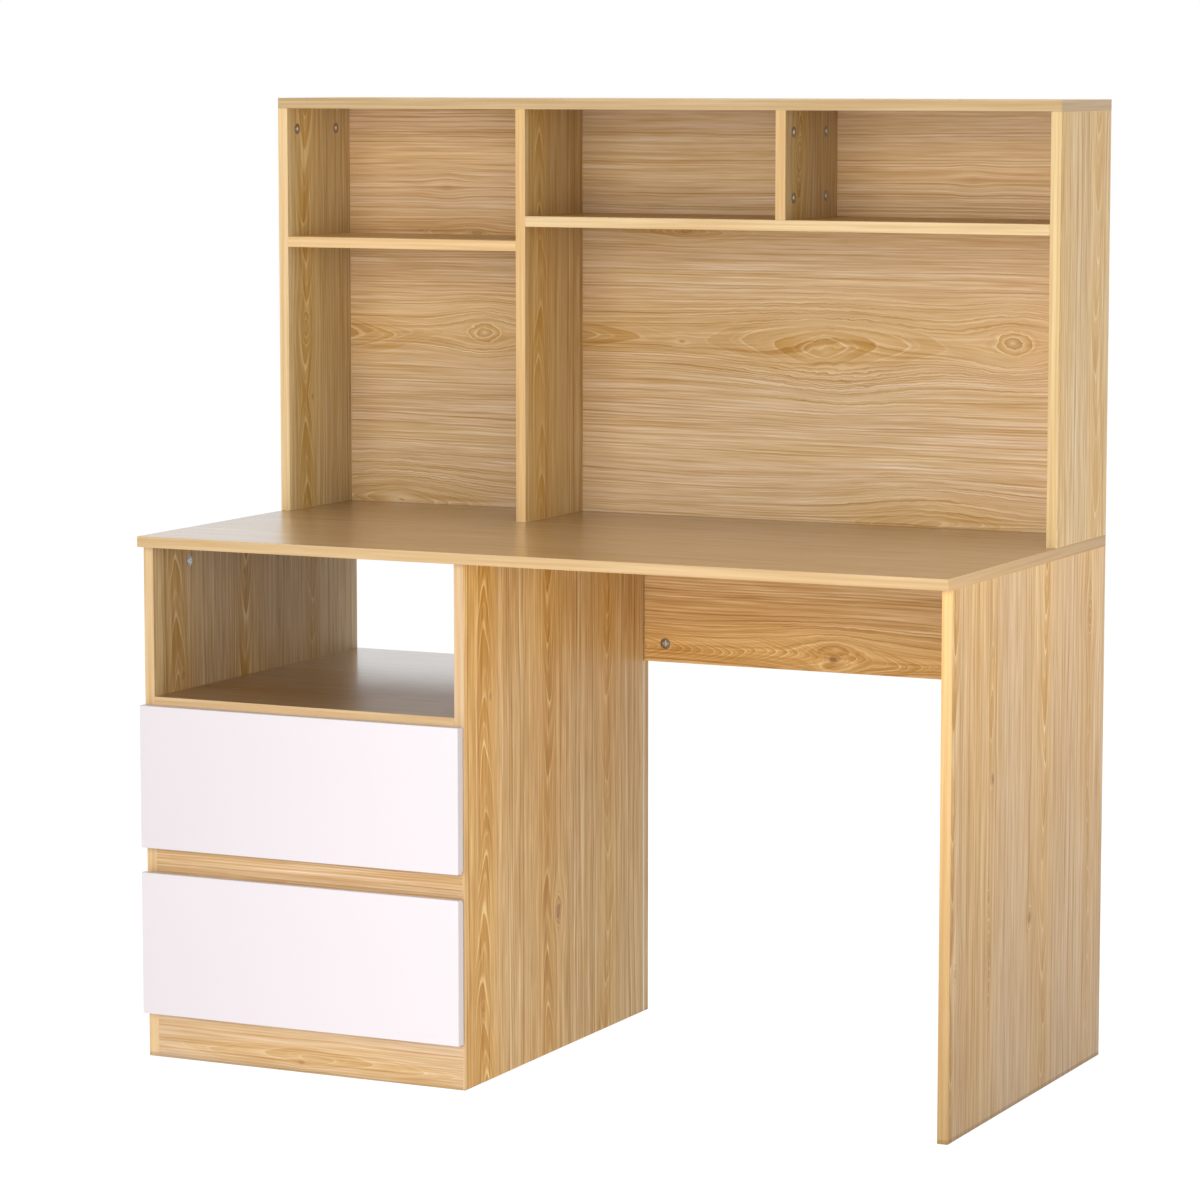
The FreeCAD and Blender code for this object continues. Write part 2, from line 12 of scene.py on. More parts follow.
import bpy
import numpy as np
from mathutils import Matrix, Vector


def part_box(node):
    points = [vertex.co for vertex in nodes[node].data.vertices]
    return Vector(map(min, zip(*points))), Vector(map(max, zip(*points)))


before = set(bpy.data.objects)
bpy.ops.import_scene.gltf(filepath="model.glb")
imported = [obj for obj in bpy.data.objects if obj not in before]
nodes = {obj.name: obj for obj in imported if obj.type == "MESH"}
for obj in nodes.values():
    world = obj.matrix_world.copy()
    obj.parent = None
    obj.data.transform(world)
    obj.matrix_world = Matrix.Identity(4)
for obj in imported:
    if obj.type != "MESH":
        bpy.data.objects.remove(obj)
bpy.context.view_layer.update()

# %% [markdown]
# ## The camera
#
# The photograph was taken from the right and a little above the hutch, with a long lens, so the uprights stay
# nearly parallel. A camera could be nudged by eye. Here its place was worked out from the board corners, and
# the focal length is given in pixels of the square photograph, which turns into millimetres of a 36 mm film.

# %% Set up the camera
FRAME_PIXELS = 1200
FOCAL_PIXELS = 4398.3
FILM_WIDTH = 36.0
CAMERA_PLACE = (2.60528, -5.46685, 1.37272)
LOOK_DOWN = 6.851
TURN_LEFT = 25.769
FARTHEST_SEEN = 80.0

camera = bpy.data.objects.new("photo_camera", bpy.data.cameras.new("photo_camera"))
bpy.context.scene.collection.objects.link(camera)
camera.data.sensor_width = FILM_WIDTH
camera.data.lens = FILM_WIDTH * FOCAL_PIXELS / FRAME_PIXELS
camera.data.clip_end = FARTHEST_SEEN
camera.location = CAMERA_PLACE
camera.rotation_euler = (math.radians(90 - LOOK_DOWN), 0.0, math.radians(TURN_LEFT))
bpy.context.scene.camera = camera
print(f"lens {camera.data.lens:.1f} mm")

# %% [markdown]
# ## Short words for nodes
#
# Every finish below is a recipe of shader nodes. Written out in full, each node takes four or five lines, and
# the recipe drowns in them. This small class wraps a node tree and gives the common steps a short word:
# `calc` for arithmetic, `noise` for a soft random field, `mix` for blending two colours, and so on. A value
# may be a plain number or the output of an earlier node.

# %% Define the recipe helper
MIX_COLOUR_INPUTS = (0, 6, 7)
MIX_COLOUR_OUTPUT = 2


class Recipe:
    """A node tree with short words for the steps of a finish."""

    def __init__(self, tree):
        self.tree = tree

    def put(self, socket, value):
        """Links an earlier output to a socket, or sets a plain value on it."""
        if isinstance(value, bpy.types.NodeSocket):
            self.tree.links.new(value, socket)
        else:
            socket.default_value = value

    def node(self, kind, settings=(), **inputs):
        """A new node with its settings, and its inputs by name with _ for a space."""
        made = self.tree.nodes.new("ShaderNode" + kind)
        for name, value in dict(settings).items():
            setattr(made, name, value)
        for name, value in inputs.items():
            self.put(made.inputs[name.replace("_", " ")], value)
        return made

    def calc(self, operation, *values):
        """One step of arithmetic on numbers."""
        made = self.node("Math", {"operation": operation})
        for socket, value in zip(made.inputs, values):
            self.put(socket, value)
        return made.outputs[0]

    def vector(self, operation, *values):
        """One step of arithmetic on vectors. A length or a dot product gives a number."""
        made = self.node("VectorMath", {"operation": operation})
        for socket, value in zip(made.inputs, values):
            self.put(socket, value)
        return made.outputs["Value" if operation in ("LENGTH", "DOT_PRODUCT") else "Vector"]

    def split(self, place):
        """The three parts of a vector."""
        return self.node("SeparateXYZ", Vector=place).outputs

    def join(self, x, y, z):
        """A vector from its three parts."""
        return self.node("CombineXYZ", X=x, Y=y, Z=z).outputs[0]

    def noise(self, place, waves, detail=2.0, rough=0.5):
        """Soft noise from 0 to 1, with so many waves in a metre along each direction of place."""
        scaled = self.vector("MULTIPLY", place, waves)
        made = self.node("TexNoise", Vector=scaled, Scale=1.0, Detail=detail, Roughness=rough)
        return made.outputs["Fac"]

    def wave(self, value, detail=1.0):
        """Soft noise from 0 to 1 along a line."""
        made = self.node("TexNoise", {"noise_dimensions": "1D"}, W=value, Scale=1.0, Detail=detail)
        return made.outputs["Fac"]

    def chance(self, value):
        """One random number from 0 to 1 for each whole value."""
        return self.node("TexWhiteNoise", {"noise_dimensions": "1D"}, W=value).outputs["Value"]

    def ease(self, value, start, end, low=0.0, high=1.0):
        """Goes smoothly from low to high while value goes from start to end."""
        made = self.node("MapRange", {"interpolation_type": "SMOOTHSTEP"})
        for socket, number in zip(made.inputs, (value, start, end, low, high)):
            self.put(socket, number)
        return made.outputs[0]

    def fall(self, value, speed):
        """Falls from 1 towards 0 as a value climbs from 0: the exponential of minus speed times the value."""
        return self.calc("EXPONENT", self.calc("MULTIPLY", value, -speed))

    def mix(self, share, first, second):
        """Goes from the first colour to the second as the share goes from 0 to 1."""
        made = self.node("Mix", {"data_type": "RGBA"})
        for index, value in zip(MIX_COLOUR_INPUTS, (share, first, second)):
            self.put(made.inputs[index], value)
        return made.outputs[MIX_COLOUR_OUTPUT]

    def shade(self, colour, amount):
        """Multiplies a colour by a brightness that is 1 where nothing changes."""
        return self.vector("MULTIPLY", colour, self.join(amount, amount, amount))


def new_group(name, takes, gives):
    """An empty shader node group: its recipe, its inputs and its outputs by name."""
    tree = bpy.data.node_groups.new(name, "ShaderNodeTree")
    for way, sockets in (("INPUT", takes), ("OUTPUT", gives)):
        for socket, kind in sockets.items():
            tree.interface.new_socket(name=socket, in_out=way, socket_type="NodeSocket" + kind)
    inside = tree.nodes.new("NodeGroupInput")
    outside = tree.nodes.new("NodeGroupOutput")
    return Recipe(tree), inside.outputs, outside.inputs


def use(recipe, group, **inputs):
    """Places a group in a recipe with its own values, and returns its outputs."""
    return recipe.node("Group", {"node_tree": group.tree}, **inputs).outputs


print("recipe words:", ", ".join(w for w in dir(Recipe) if not w.startswith("_")))

# %% [markdown]
# ## Floor and white background
#
# The desk stands in a white studio with nothing behind it. A bright lamp could burn a grey floor to white,
# but it would burn the drawer fronts too. Instead the floor and the world show white to the camera and in
# reflections, through Light Path, and light the desk at a plain level. A share of the floor stays an ordinary
# matt surface, so the shadow under the desk is still there, only faint.

# %% Lay the floor
def surface(name, shape, rows, columns):
    """A mesh from a function of two parameters, each from 0 to 1, worked out on a whole grid at once."""
    s, t = np.meshgrid(np.linspace(0, 1, columns), np.linspace(0, 1, rows))
    points = np.stack(shape(s, t), axis=-1).reshape(-1, 3)
    first = (np.arange(rows - 1)[:, None] * columns + np.arange(columns - 1)).ravel()
    faces = np.stack([first, first + 1, first + columns + 1, first + columns], axis=1)
    mesh = bpy.data.meshes.new(name)
    mesh.from_pydata(points.tolist(), [], faces.tolist())
    made = bpy.data.objects.new(name, mesh)
    bpy.context.scene.collection.objects.link(made)
    return made


FLOOR_REACH = 14.0
FLOOR_DROP = 0.0006
FLOOR_POINTS = 9
FLOOR_WAVES = (1.5, 1.5, 1.5)
FLOOR_GREYS = ((0.33, 0.33, 0.33, 1), (0.37, 0.37, 0.37, 1))
FLOOR_SEEN = (0.36, 0.36, 0.36, 1)
FLOOR_GLOW = 0.92
WHITE = (1, 1, 1, 1)


def floor_shape(s, t):
    """A level square: x and y run from minus to plus the reach, just under the feet of the desk."""
    return (2 * s - 1) * FLOOR_REACH, (2 * t - 1) * FLOOR_REACH, np.full_like(s, -FLOOR_DROP)


floor = surface("studio_floor", floor_shape, FLOOR_POINTS, FLOOR_POINTS)


def seen_white(recipe):
    """1 for rays from the camera, in reflections and through glass, 0 for light that falls on the desk."""
    path = recipe.node("LightPath").outputs
    straight = recipe.calc("MAXIMUM", path["Is Camera Ray"], path["Is Glossy Ray"])
    return recipe.calc("MAXIMUM", straight, path["Is Transmission Ray"])


def floor_finish():
    """A faintly clouded matt grey, with a white glow added for rays that look at it."""
    made = bpy.data.materials.new("studio_floor")
    made.use_nodes = True
    made.node_tree.nodes.clear()
    recipe = Recipe(made.node_tree)
    place = recipe.node("TexCoord").outputs["Object"]
    cloud = recipe.noise(place, FLOOR_WAVES, detail=3.0)
    seen = seen_white(recipe)
    grey = recipe.mix(cloud, *FLOOR_GREYS)
    matt = recipe.node("BsdfDiffuse", Color=recipe.mix(seen, grey, FLOOR_SEEN))
    glow = recipe.node("Emission", Color=WHITE, Strength=recipe.calc("MULTIPLY", seen, FLOOR_GLOW))
    both = recipe.node("AddShader")
    recipe.tree.links.new(matt.outputs[0], both.inputs[0])
    recipe.tree.links.new(glow.outputs[0], both.inputs[1])
    out = recipe.node("OutputMaterial")
    recipe.tree.links.new(both.outputs[0], out.inputs["Surface"])
    return made


floor.data.materials.append(floor_finish())
print("floor", len(floor.data.polygons), "faces")

# %% [markdown]
# ## Soft light
#
# The boards are brightest in front, a little darker on the right, and nowhere is there a hard shadow. One big
# lamp could do that, but the knee space and the undersides would go black. Five soft lamps share the work: a
# wide one in front, a small one that reaches into the knee space, one on the right, a strip overhead for the
# level boards, and a table of light under the desk in place of the bright studio floor. Light simply adds up,
# so each lamp was tried alone, and their powers were chosen so that the sum comes closest to every board.

# %% Light the studio
FILL = 0.27

world = bpy.data.worlds.new("white_studio")
bpy.context.scene.world = world
world.use_nodes = True
world.node_tree.nodes.clear()
sky = Recipe(world.node_tree)
strength = sky.ease(seen_white(sky), 0.0, 1.0, low=FILL)
background = sky.node("Background", Color=WHITE, Strength=strength)
sky.tree.links.new(background.outputs[0], sky.node("OutputWorld").inputs["Surface"])


def softbox(name, place, aim, width, height, watts):
    """A soft rectangular lamp at place, turned to shine at aim."""
    lamp = bpy.data.lights.new(name, "AREA")
    lamp.shape = "RECTANGLE"
    lamp.size = width
    lamp.size_y = height
    lamp.energy = watts
    made = bpy.data.objects.new(name, lamp)
    bpy.context.scene.collection.objects.link(made)
    made.location = place
    away = np.array(aim, float) - np.array(place, float)
    flat = math.hypot(away[0], away[1])
    made.rotation_euler = (math.pi / 2 + math.atan2(away[2], flat), 0, math.atan2(-away[0], away[1]))
    made.visible_camera = False
    made.visible_glossy = False


softbox("front_softbox", (0.0, -4.8, 1.6), (0.0, 0.0, 0.7), width=4.2, height=3.0, watts=106)
softbox("knee_softbox", (0.7, -1.7, 0.9), (-0.2, 0.0, 0.6), width=0.9, height=0.9, watts=6.5)
softbox("right_softbox", (4.6, -0.3, 1.5), (0.3, 0.0, 0.7), width=3.4, height=2.6, watts=54)
softbox("overhead_softbox", (0.0, 0.2, 3.0), (0.0, 0.2, 0.0), width=3.0, height=0.9, watts=21)
softbox("light_table", (0.0, 0.0, -FLOOR_DROP / 2), (0.0, 0.0001, 1.0), width=5.0, height=5.0, watts=50)
bpy.context.scene.view_settings.view_transform = "Standard"
print("world fill", FILL)

# %% [markdown]
# ## The oak figure, step one: flames
#
# A plain-sawn board cuts through the growth rings of a trunk at a slant, which draws columns of nested
# arches, called flames or cathedrals, with straight lines between them. The print on this desk has such a
# column about every 185 mm. A picture of wood would be the quick way, but it couldn't follow each board's own
# knots. This group draws one column from a sawtooth instead. A phase climbs along the grain, and climbs
# further away from the column's axis, so the places with one whole number of it form an arch. Within each
# ring the wood turns slowly more golden and then stops sharply at a cream line. Past the turning point the
# climb runs the other way, so two halves of a column can point apart, as diamonds, or at each other. The wood
# around a column is warmer too, which the group hands on as `Halo`.

# %% Make the flame group
TIP_RADIUS = 0.004
TURN_RADIUS = 0.010
FLARE = 0.03
FLARE_POWER = 3.0
HEART = 0.6
SWAY_WAVES = 4.0
SWAY = 0.028
RAGGED_WAVES = (11.0, 60.0, 1.0)
RAGGED_PITCH = 0.07
RAGGED = 0.4
UNEVEN_WAVES = 0.6
UNEVEN = 1.2
GOLD_POWER = 0.8
FAINT_GOLD = 0.55
FAINT_CREAM = 0.3
HALO_SPEED = 0.35
FLAME_SEED_STRIDE = 17.3

flame, given, result = new_group(
    "oak_flame",
    {"Place": "Vector", "Gold": "Float", "Cream": "Float", "Halo": "Float", "Axis": "Float", "Turn": "Float",
     "Pitch": "Float", "Way": "Float", "Width": "Float", "Slope": "Float", "Length": "Float", "Rich": "Float",
     "Seed": "Float"},
    {"Gold": "Float", "Cream": "Float", "Halo": "Float"},
)
along, across, _ = flame.split(given["Place"])
shift = flame.calc("MULTIPLY", given["Seed"], FLAME_SEED_STRIDE)


def rounded(value, radius):
    """The size of a value without its sign, with a rounded bottom of the given radius instead of a corner."""
    square = flame.calc("MULTIPLY_ADD", value, value, radius * radius)
    return flame.calc("SUBTRACT", flame.calc("SQRT", square), radius)


sway = flame.wave(flame.calc("MULTIPLY_ADD", along, SWAY_WAVES, shift), detail=2.0)
sway = flame.calc("SUBTRACT", sway, 0.5)
away = flame.calc("MULTIPLY_ADD", sway, SWAY, flame.calc("SUBTRACT", across, given["Axis"]))
reach = flame.calc("DIVIDE", flame.calc("ABSOLUTE", away), given["Width"])
flare = flame.calc("MULTIPLY", flame.calc("POWER", reach, FLARE_POWER), FLARE)
flank = flame.calc("MULTIPLY_ADD", rounded(away, TIP_RADIUS), given["Slope"], flare)
climb = rounded(flame.calc("SUBTRACT", along, given["Turn"]), TURN_RADIUS)
ragged = flame.noise(flame.join(along, across, shift), RAGGED_WAVES, detail=3.0)
ragged = flame.calc("SUBTRACT", ragged, 0.5)
rough = flame.calc("MULTIPLY", flame.calc("MINIMUM", given["Pitch"], RAGGED_PITCH), ragged)
steps = flame.calc("MULTIPLY_ADD", rough, RAGGED, flame.calc("MULTIPLY_ADD", climb, given["Way"], flank))
steps = flame.calc("ADD", flame.calc("DIVIDE", steps, given["Pitch"]), HEART)
uneven = flame.calc("SUBTRACT", flame.wave(flame.calc("MULTIPLY_ADD", steps, UNEVEN_WAVES, shift)), 0.5)
phase = flame.calc("MULTIPLY_ADD", uneven, UNEVEN, steps)
ring = flame.calc("FRACT", phase)
each = flame.chance(flame.calc("ADD", flame.calc("FLOOR", phase), shift))


def dying(distance, power, speed):
    """1 in the middle, dying away with a power of the distance."""
    return flame.fall(flame.calc("POWER", distance, power), speed)


span = dying(flame.calc("DIVIDE", climb, given["Length"]), power=4.0, speed=0.7)
span = flame.calc("MULTIPLY", span, given["Rich"])
inner = dying(reach, power=2.0, speed=1.3)
outer = dying(reach, power=3.0, speed=0.7)


def stripe(middle, breadth, strength):
    """A soft line where the ring passes its middle: a bell-shaped bump of the given breadth."""
    off = flame.calc("DIVIDE", flame.calc("SUBTRACT", ring, middle), breadth)
    bell = flame.fall(flame.calc("MULTIPLY", off, off), 1.0)
    return flame.calc("MULTIPLY", bell, strength)


golden = flame.calc("POWER", ring, GOLD_POWER)
gold = flame.calc("MULTIPLY", golden, flame.ease(each, 0.0, 1.0, low=FAINT_GOLD))
gold = flame.calc("MULTIPLY", gold, flame.calc("MULTIPLY", inner, span))
cream = stripe(middle=0.07, breadth=0.08, strength=0.62)
cream = flame.calc("MAXIMUM", cream, stripe(middle=0.5, breadth=0.06, strength=0.3))
cream = flame.calc("MULTIPLY", cream, flame.ease(each, 0.0, 0.7, low=FAINT_CREAM))
cream = flame.calc("MULTIPLY", cream, flame.calc("MULTIPLY", outer, span))
wide = flame.fall(flame.calc("MULTIPLY", reach, reach), HALO_SPEED)
halo = flame.calc("MULTIPLY", wide, span)
flame.put(result["Gold"], flame.calc("MAXIMUM", given["Gold"], gold))
flame.put(result["Cream"], flame.calc("MAXIMUM", given["Cream"], cream))
flame.put(result["Halo"], flame.calc("MAXIMUM", given["Halo"], halo))
print("group", flame.tree.name, len(flame.tree.nodes), "nodes")

# %% [markdown]
# ## Amber stripes
#
# Some stretches of the print are amber with no arches in them. They could be flames too wide to see, but a
# bell-shaped stripe along the grain says the same with far fewer nodes. It joins the flames' halo, and the
# stronger of the two counts.

# %% Make the glow group
glow, given, result = new_group(
    "amber_glow",
    {"Place": "Vector", "Halo": "Float", "Axis": "Float", "Width": "Float", "Strength": "Float"},
    {"Halo": "Float"},
)
off = glow.calc("DIVIDE", glow.calc("SUBTRACT", glow.split(given["Place"])[1], given["Axis"]), given["Width"])
bell = glow.fall(glow.calc("MULTIPLY", off, off), 1.0)
shine = glow.calc("MULTIPLY", bell, given["Strength"])
glow.put(result["Halo"], glow.calc("MAXIMUM", given["Halo"], shine))
print("group", glow.tree.name, len(glow.tree.nodes), "nodes")

# %% [markdown]
# ## Step two: knots
#
# Where a branch left the trunk, the grain parts and flows round it. The group bends the `Grain` coordinate,
# which counts lines across the board, by squeezing it towards the knot's middle: the lines there spread apart
# like those under a lens. Its own rings are an ellipse's, longer along the grain, and its heart is darker,
# which the group hands on as `Core`.

# %% Make the knot group
CRUMPLE_WAVES = (45.0, 90.0, 1.0)
CRUMPLE = 0.6
LENS_SPEED = 0.22
KNOT_RINGS = 2.4
KNOT_RIM = (1.3, 0.8)
KNOT_HEART = (0.75, 0.2)
LINE_SPEED = 5.0

knot, given, result = new_group(
    "oak_knot",
    {"Place": "Vector", "Grain": "Float", "Gold": "Float", "Cream": "Float", "Core": "Float",
     "Centre": "Vector", "Size": "Vector", "Push": "Float", "Rings": "Float", "Dark": "Float"},
    {"Grain": "Float", "Gold": "Float", "Cream": "Float", "Core": "Float"},
)
offset = knot.vector("SUBTRACT", given["Place"], given["Centre"])
sideways = knot.split(offset)[1]
crumple = knot.calc("SUBTRACT", knot.noise(given["Place"], CRUMPLE_WAVES), 0.5)
ellipse = knot.vector("LENGTH", knot.vector("DIVIDE", offset, given["Size"]))
far = knot.calc("MULTIPLY_ADD", crumple, CRUMPLE, ellipse)
lens = knot.fall(knot.calc("MULTIPLY", far, far), LENS_SPEED)
squeeze = knot.calc("MULTIPLY", knot.calc("MULTIPLY", lens, given["Push"]), sideways)
knot.put(result["Grain"], knot.calc("SUBTRACT", given["Grain"], squeeze))
ring = knot.calc("FRACT", knot.calc("MULTIPLY", far, KNOT_RINGS))
inside = knot.calc("MULTIPLY", knot.ease(far, *KNOT_RIM), given["Rings"])
knot.put(result["Gold"], knot.calc("MAXIMUM", given["Gold"], knot.calc("MULTIPLY", ring, inside)))
line = knot.calc("MULTIPLY", knot.fall(ring, LINE_SPEED), inside)
knot.put(result["Cream"], knot.calc("MAXIMUM", given["Cream"], line))
heart = knot.calc("MULTIPLY", knot.ease(far, *KNOT_HEART), given["Dark"])
knot.put(result["Core"], knot.calc("MAXIMUM", given["Core"], heart))
print("group", knot.tree.name, len(knot.tree.nodes), "nodes")

# %% [markdown]
# ## Step three: streaks, fibres and tone
#
# Between the flames the grain is straight: counted lines a few millimetres apart, soft streaks among them,
# and hair-fine fibres over all. A line is one tooth of a saw, like a ring of a flame: it starts pale and
# thin, and darkens to its end. All of them follow the `Grain` coordinate, so they part round the knots. The
# figure fades in and out across a board, and broad, soft changes of tone run between pink and yellow. Where
# wood is darker it is also more saturated, so the shading is stronger in blue than in red. The fibres give
# the faint relief of the pressed surface as well, so colour and relief agree with each other.

# %% Make the figure group
FIGURE_SEED_STRIDE = 3.3
DRIFT_WAVES = (1.6, 6.0, 1.0)
RIPPLE_WAVES = (13.0, 45.0, 1.0)
RIPPLE = 0.12
STREAK_WAVES = (3.0, 0.72, 5.0)
HAIR_WAVES = (8.0, 1.44, 5.0)
BROAD_WAVES = (0.8, 24.0, 7.0)
FADE_WAVES = (1.2, 9.0, 2.0)
BUNCH_WAVES = (1.8, 26.0, 9.0)
LINE_BUNCHING = 4.0
LATE_POWER = 2.5
EARLY_SPEED = 6.0
PALE_LINES = 0.6
PALE_STREAKS = 0.45
DARK_LINES = 0.8
DARK_STREAKS = 0.5
HAIR_TONE = 0.9
LATE_TONE = -0.16
BROAD_TONE = 0.35
PINK_TINT = (1.02, 1.03, 1.07, 1)
YELLOW_TINT = (0.975, 0.955, 0.89, 1)
AMBER_TINT = (1.02, 0.94, 0.72, 1)
KNOT_BROWN = (0.34, 0.17, 0.06, 1)
STAIN = (0.65, 1.0, 1.6)

figure, given, result = new_group(
    "oak_figure",
    {"Place": "Vector", "Grain": "Float", "Gold": "Float", "Cream": "Float", "Halo": "Float", "Core": "Float",
     "Lines": "Float", "Waver": "Float", "Contrast": "Float", "Seed": "Float", "Light": "Color",
     "Wood": "Color", "Dark": "Color", "Amber": "Color", "Ivory": "Color"},
    {"Color": "Color", "Relief": "Float"},
)
along, across, _ = figure.split(given["Place"])
layer = figure.calc("MULTIPLY", given["Seed"], FIGURE_SEED_STRIDE)
flat = figure.join(along, across, layer)
drift = figure.calc("SUBTRACT", figure.noise(flat, DRIFT_WAVES), 0.5)
ripple = figure.calc("SUBTRACT", figure.noise(flat, RIPPLE_WAVES), 0.5)
drift = figure.calc("MULTIPLY_ADD", ripple, RIPPLE, drift)
grain = figure.calc("MULTIPLY_ADD", drift, given["Waver"], given["Grain"])
sheet = figure.join(along, grain, layer)
counted = figure.join(along, figure.calc("MULTIPLY", grain, given["Lines"]), layer)
streak = figure.noise(counted, STREAK_WAVES, detail=3.0, rough=0.66)
hair = figure.calc("SUBTRACT", figure.noise(counted, HAIR_WAVES, rough=0.7), 0.5)
broad = figure.noise(sheet, BROAD_WAVES, rough=0.6)
fade = figure.noise(sheet, FADE_WAVES)
force = figure.calc("MULTIPLY", figure.ease(fade, 0.3, 0.7, low=0.6, high=1.2), given["Contrast"])

bunch = figure.calc("MULTIPLY", figure.noise(sheet, BUNCH_WAVES), LINE_BUNCHING)
count = figure.calc("MULTIPLY_ADD", grain, given["Lines"], bunch)
ring = figure.calc("FRACT", count)
each = figure.chance(figure.calc("ADD", figure.calc("FLOOR", count), layer))
late = figure.calc("MULTIPLY", figure.calc("POWER", ring, LATE_POWER), figure.ease(each, 0.2, 1.0))
early = figure.calc("MULTIPLY", figure.fall(ring, EARLY_SPEED), each)

pale = figure.calc("MULTIPLY_ADD", early, PALE_LINES, figure.ease(streak, 0.48, 0.72, high=PALE_STREAKS))
dark = figure.calc("MULTIPLY_ADD", late, DARK_LINES, figure.ease(streak, 0.52, 0.30, high=DARK_STREAKS))
lightened = figure.calc("MINIMUM", figure.calc("MULTIPLY", pale, force), 1.0)
darkened = figure.calc("MINIMUM", figure.calc("MULTIPLY", dark, force), 1.0)
body = figure.mix(lightened, given["Wood"], given["Light"])
body = figure.mix(darkened, body, given["Dark"])
body = figure.mix(given["Cream"], figure.mix(given["Gold"], body, given["Amber"]), given["Ivory"])
rosy = figure.mix(figure.ease(broad, 0.32, 0.68), PINK_TINT, YELLOW_TINT)
warm = figure.mix(given["Halo"], rosy, AMBER_TINT)
body = figure.vector("MULTIPLY", body, warm)
tone = figure.calc("MULTIPLY_ADD", hair, HAIR_TONE, figure.calc("MULTIPLY", late, LATE_TONE))
tone = figure.calc("MULTIPLY_ADD", figure.calc("SUBTRACT", broad, 0.5), BROAD_TONE, tone)
tone = figure.calc("MULTIPLY", tone, given["Contrast"])
deepened = figure.vector("MULTIPLY_ADD", figure.join(tone, tone, tone), STAIN, (1.0, 1.0, 1.0))
body = figure.vector("MULTIPLY", body, deepened)
body = figure.mix(given["Core"], body, KNOT_BROWN)
figure.put(result["Color"], body)
figure.put(result["Relief"], hair)
print("group", figure.tree.name, len(figure.tree.nodes), "nodes")

# %% [markdown]
# ## Step four: edge bands and cut chipboard
#
# A board's cut edges are covered with a narrow printed band, paler than the faces and streaked along its
# length. A separate strip of mesh could stand for it, but it would only be a film on a face that is already
# there. The group works out where the surface is on the board instead: past the half length or half width it
# is an edge, and inside the half thickness anywhere else it is a bored hole, which shows raw chipboard.

# %% Make the edge and chipboard groups
EDGE_DEPTH = 0.0007
EDGE_WAVES = (3.5, 210.0, 3.0)
FLAKES_PER_METRE = 420.0
FLAKE_COLOURS = ((0.33, 0.22, 0.12, 1), (0.66, 0.50, 0.32, 1))

edge, given, result = new_group(
    "board_edges",
    {"Place": "Vector", "Half": "Vector", "Seed": "Float"},
    {"Edge": "Float", "End": "Float", "Cut": "Float", "Streak": "Float"},
)
along, across, through = edge.split(given["Place"])
half_along, half_across, half_through = edge.split(given["Half"])


def beyond(value, half):
    """1 where a coordinate is within the edge's depth of the board's limit."""
    return edge.calc("GREATER_THAN", edge.calc("ABSOLUTE", value), edge.calc("SUBTRACT", half, EDGE_DEPTH))


end = beyond(along, half_along)
rim = edge.calc("MAXIMUM", end, beyond(across, half_across))
edge.put(result["Edge"], rim)
edge.put(result["End"], end)
outer = edge.calc("MAXIMUM", rim, beyond(through, half_through))
edge.put(result["Cut"], edge.calc("SUBTRACT", 1.0, outer))
run = edge.calc("ADD", along, edge.calc("MULTIPLY", end, edge.calc("SUBTRACT", across, along)))
strip = edge.join(run, through, given["Seed"])
edge.put(result["Streak"], edge.noise(strip, EDGE_WAVES, detail=3.0, rough=0.6))

chips, given, result = new_group("chipboard", {"Place": "Vector"}, {"Color": "Color", "Relief": "Float"})
flakes = chips.node("TexVoronoi", Vector=given["Place"], Scale=FLAKES_PER_METRE)
flake = chips.split(flakes.outputs["Color"])[0]
chips.put(result["Color"], chips.mix(flake, *FLAKE_COLOURS))
chips.put(result["Relief"], flakes.outputs["Distance"])
print("groups", edge.tree.name, "and", chips.tree.name)

# %% [markdown]
# ## Step five: the satin surface
#
# Melamine is neither matt nor glossy. Its sheen changes a little over a board, from the press and from
# hands, and close up it has a fine orange-peel texture. Every board and drawer front shares this group, each
# with its own amount.

# %% Make the satin group
SHEEN_WAVES = (5.0, 5.0, 5.0)
PEEL_WAVES = (900.0, 900.0, 900.0)

satin, given, result = new_group(
    "satin_melamine",
    {"Place": "Vector", "Sheen": "Float", "Range": "Float"},
    {"Roughness": "Float", "Peel": "Float"},
)
cloud = satin.calc("SUBTRACT", satin.noise(given["Place"], SHEEN_WAVES, detail=4.0, rough=0.6), 0.5)
satin.put(result["Roughness"], satin.calc("MULTIPLY_ADD", cloud, given["Range"], given["Sheen"]))
satin.put(result["Peel"], satin.noise(given["Place"], PEEL_WAVES, detail=1.0))
print("group", satin.tree.name)

# %% [markdown]
# ## From groups to a board
#
# Each board gets a material of its own, because each was cut from another place in the print. A Mapping node
# turns the object's coordinates so that X runs along the grain and Y across it, with the origin in the middle
# of the board. Then come the board's flames and knots, one group after another, and the figure drawn from
# their sum. Places along and across the grain are written in millimetres of the desk.

# %% Define how an oak board is finished
MM = 0.001
EVERY_DEPTH = 1000.0
COMMON_IOR = 1.5
COAT_IOR = 1.7
BOARD_SEED_STEP = 0.37
COLUMN_SEED_STEP = 1.9
OAK_SHEEN_RANGE = 0.16
PEEL_SHARE = 0.15
PRESS_DEPTH = 0.00004
LINES_PER_METRE = {"upright": 130.0, "level": 180.0, "fascia": 250.0}
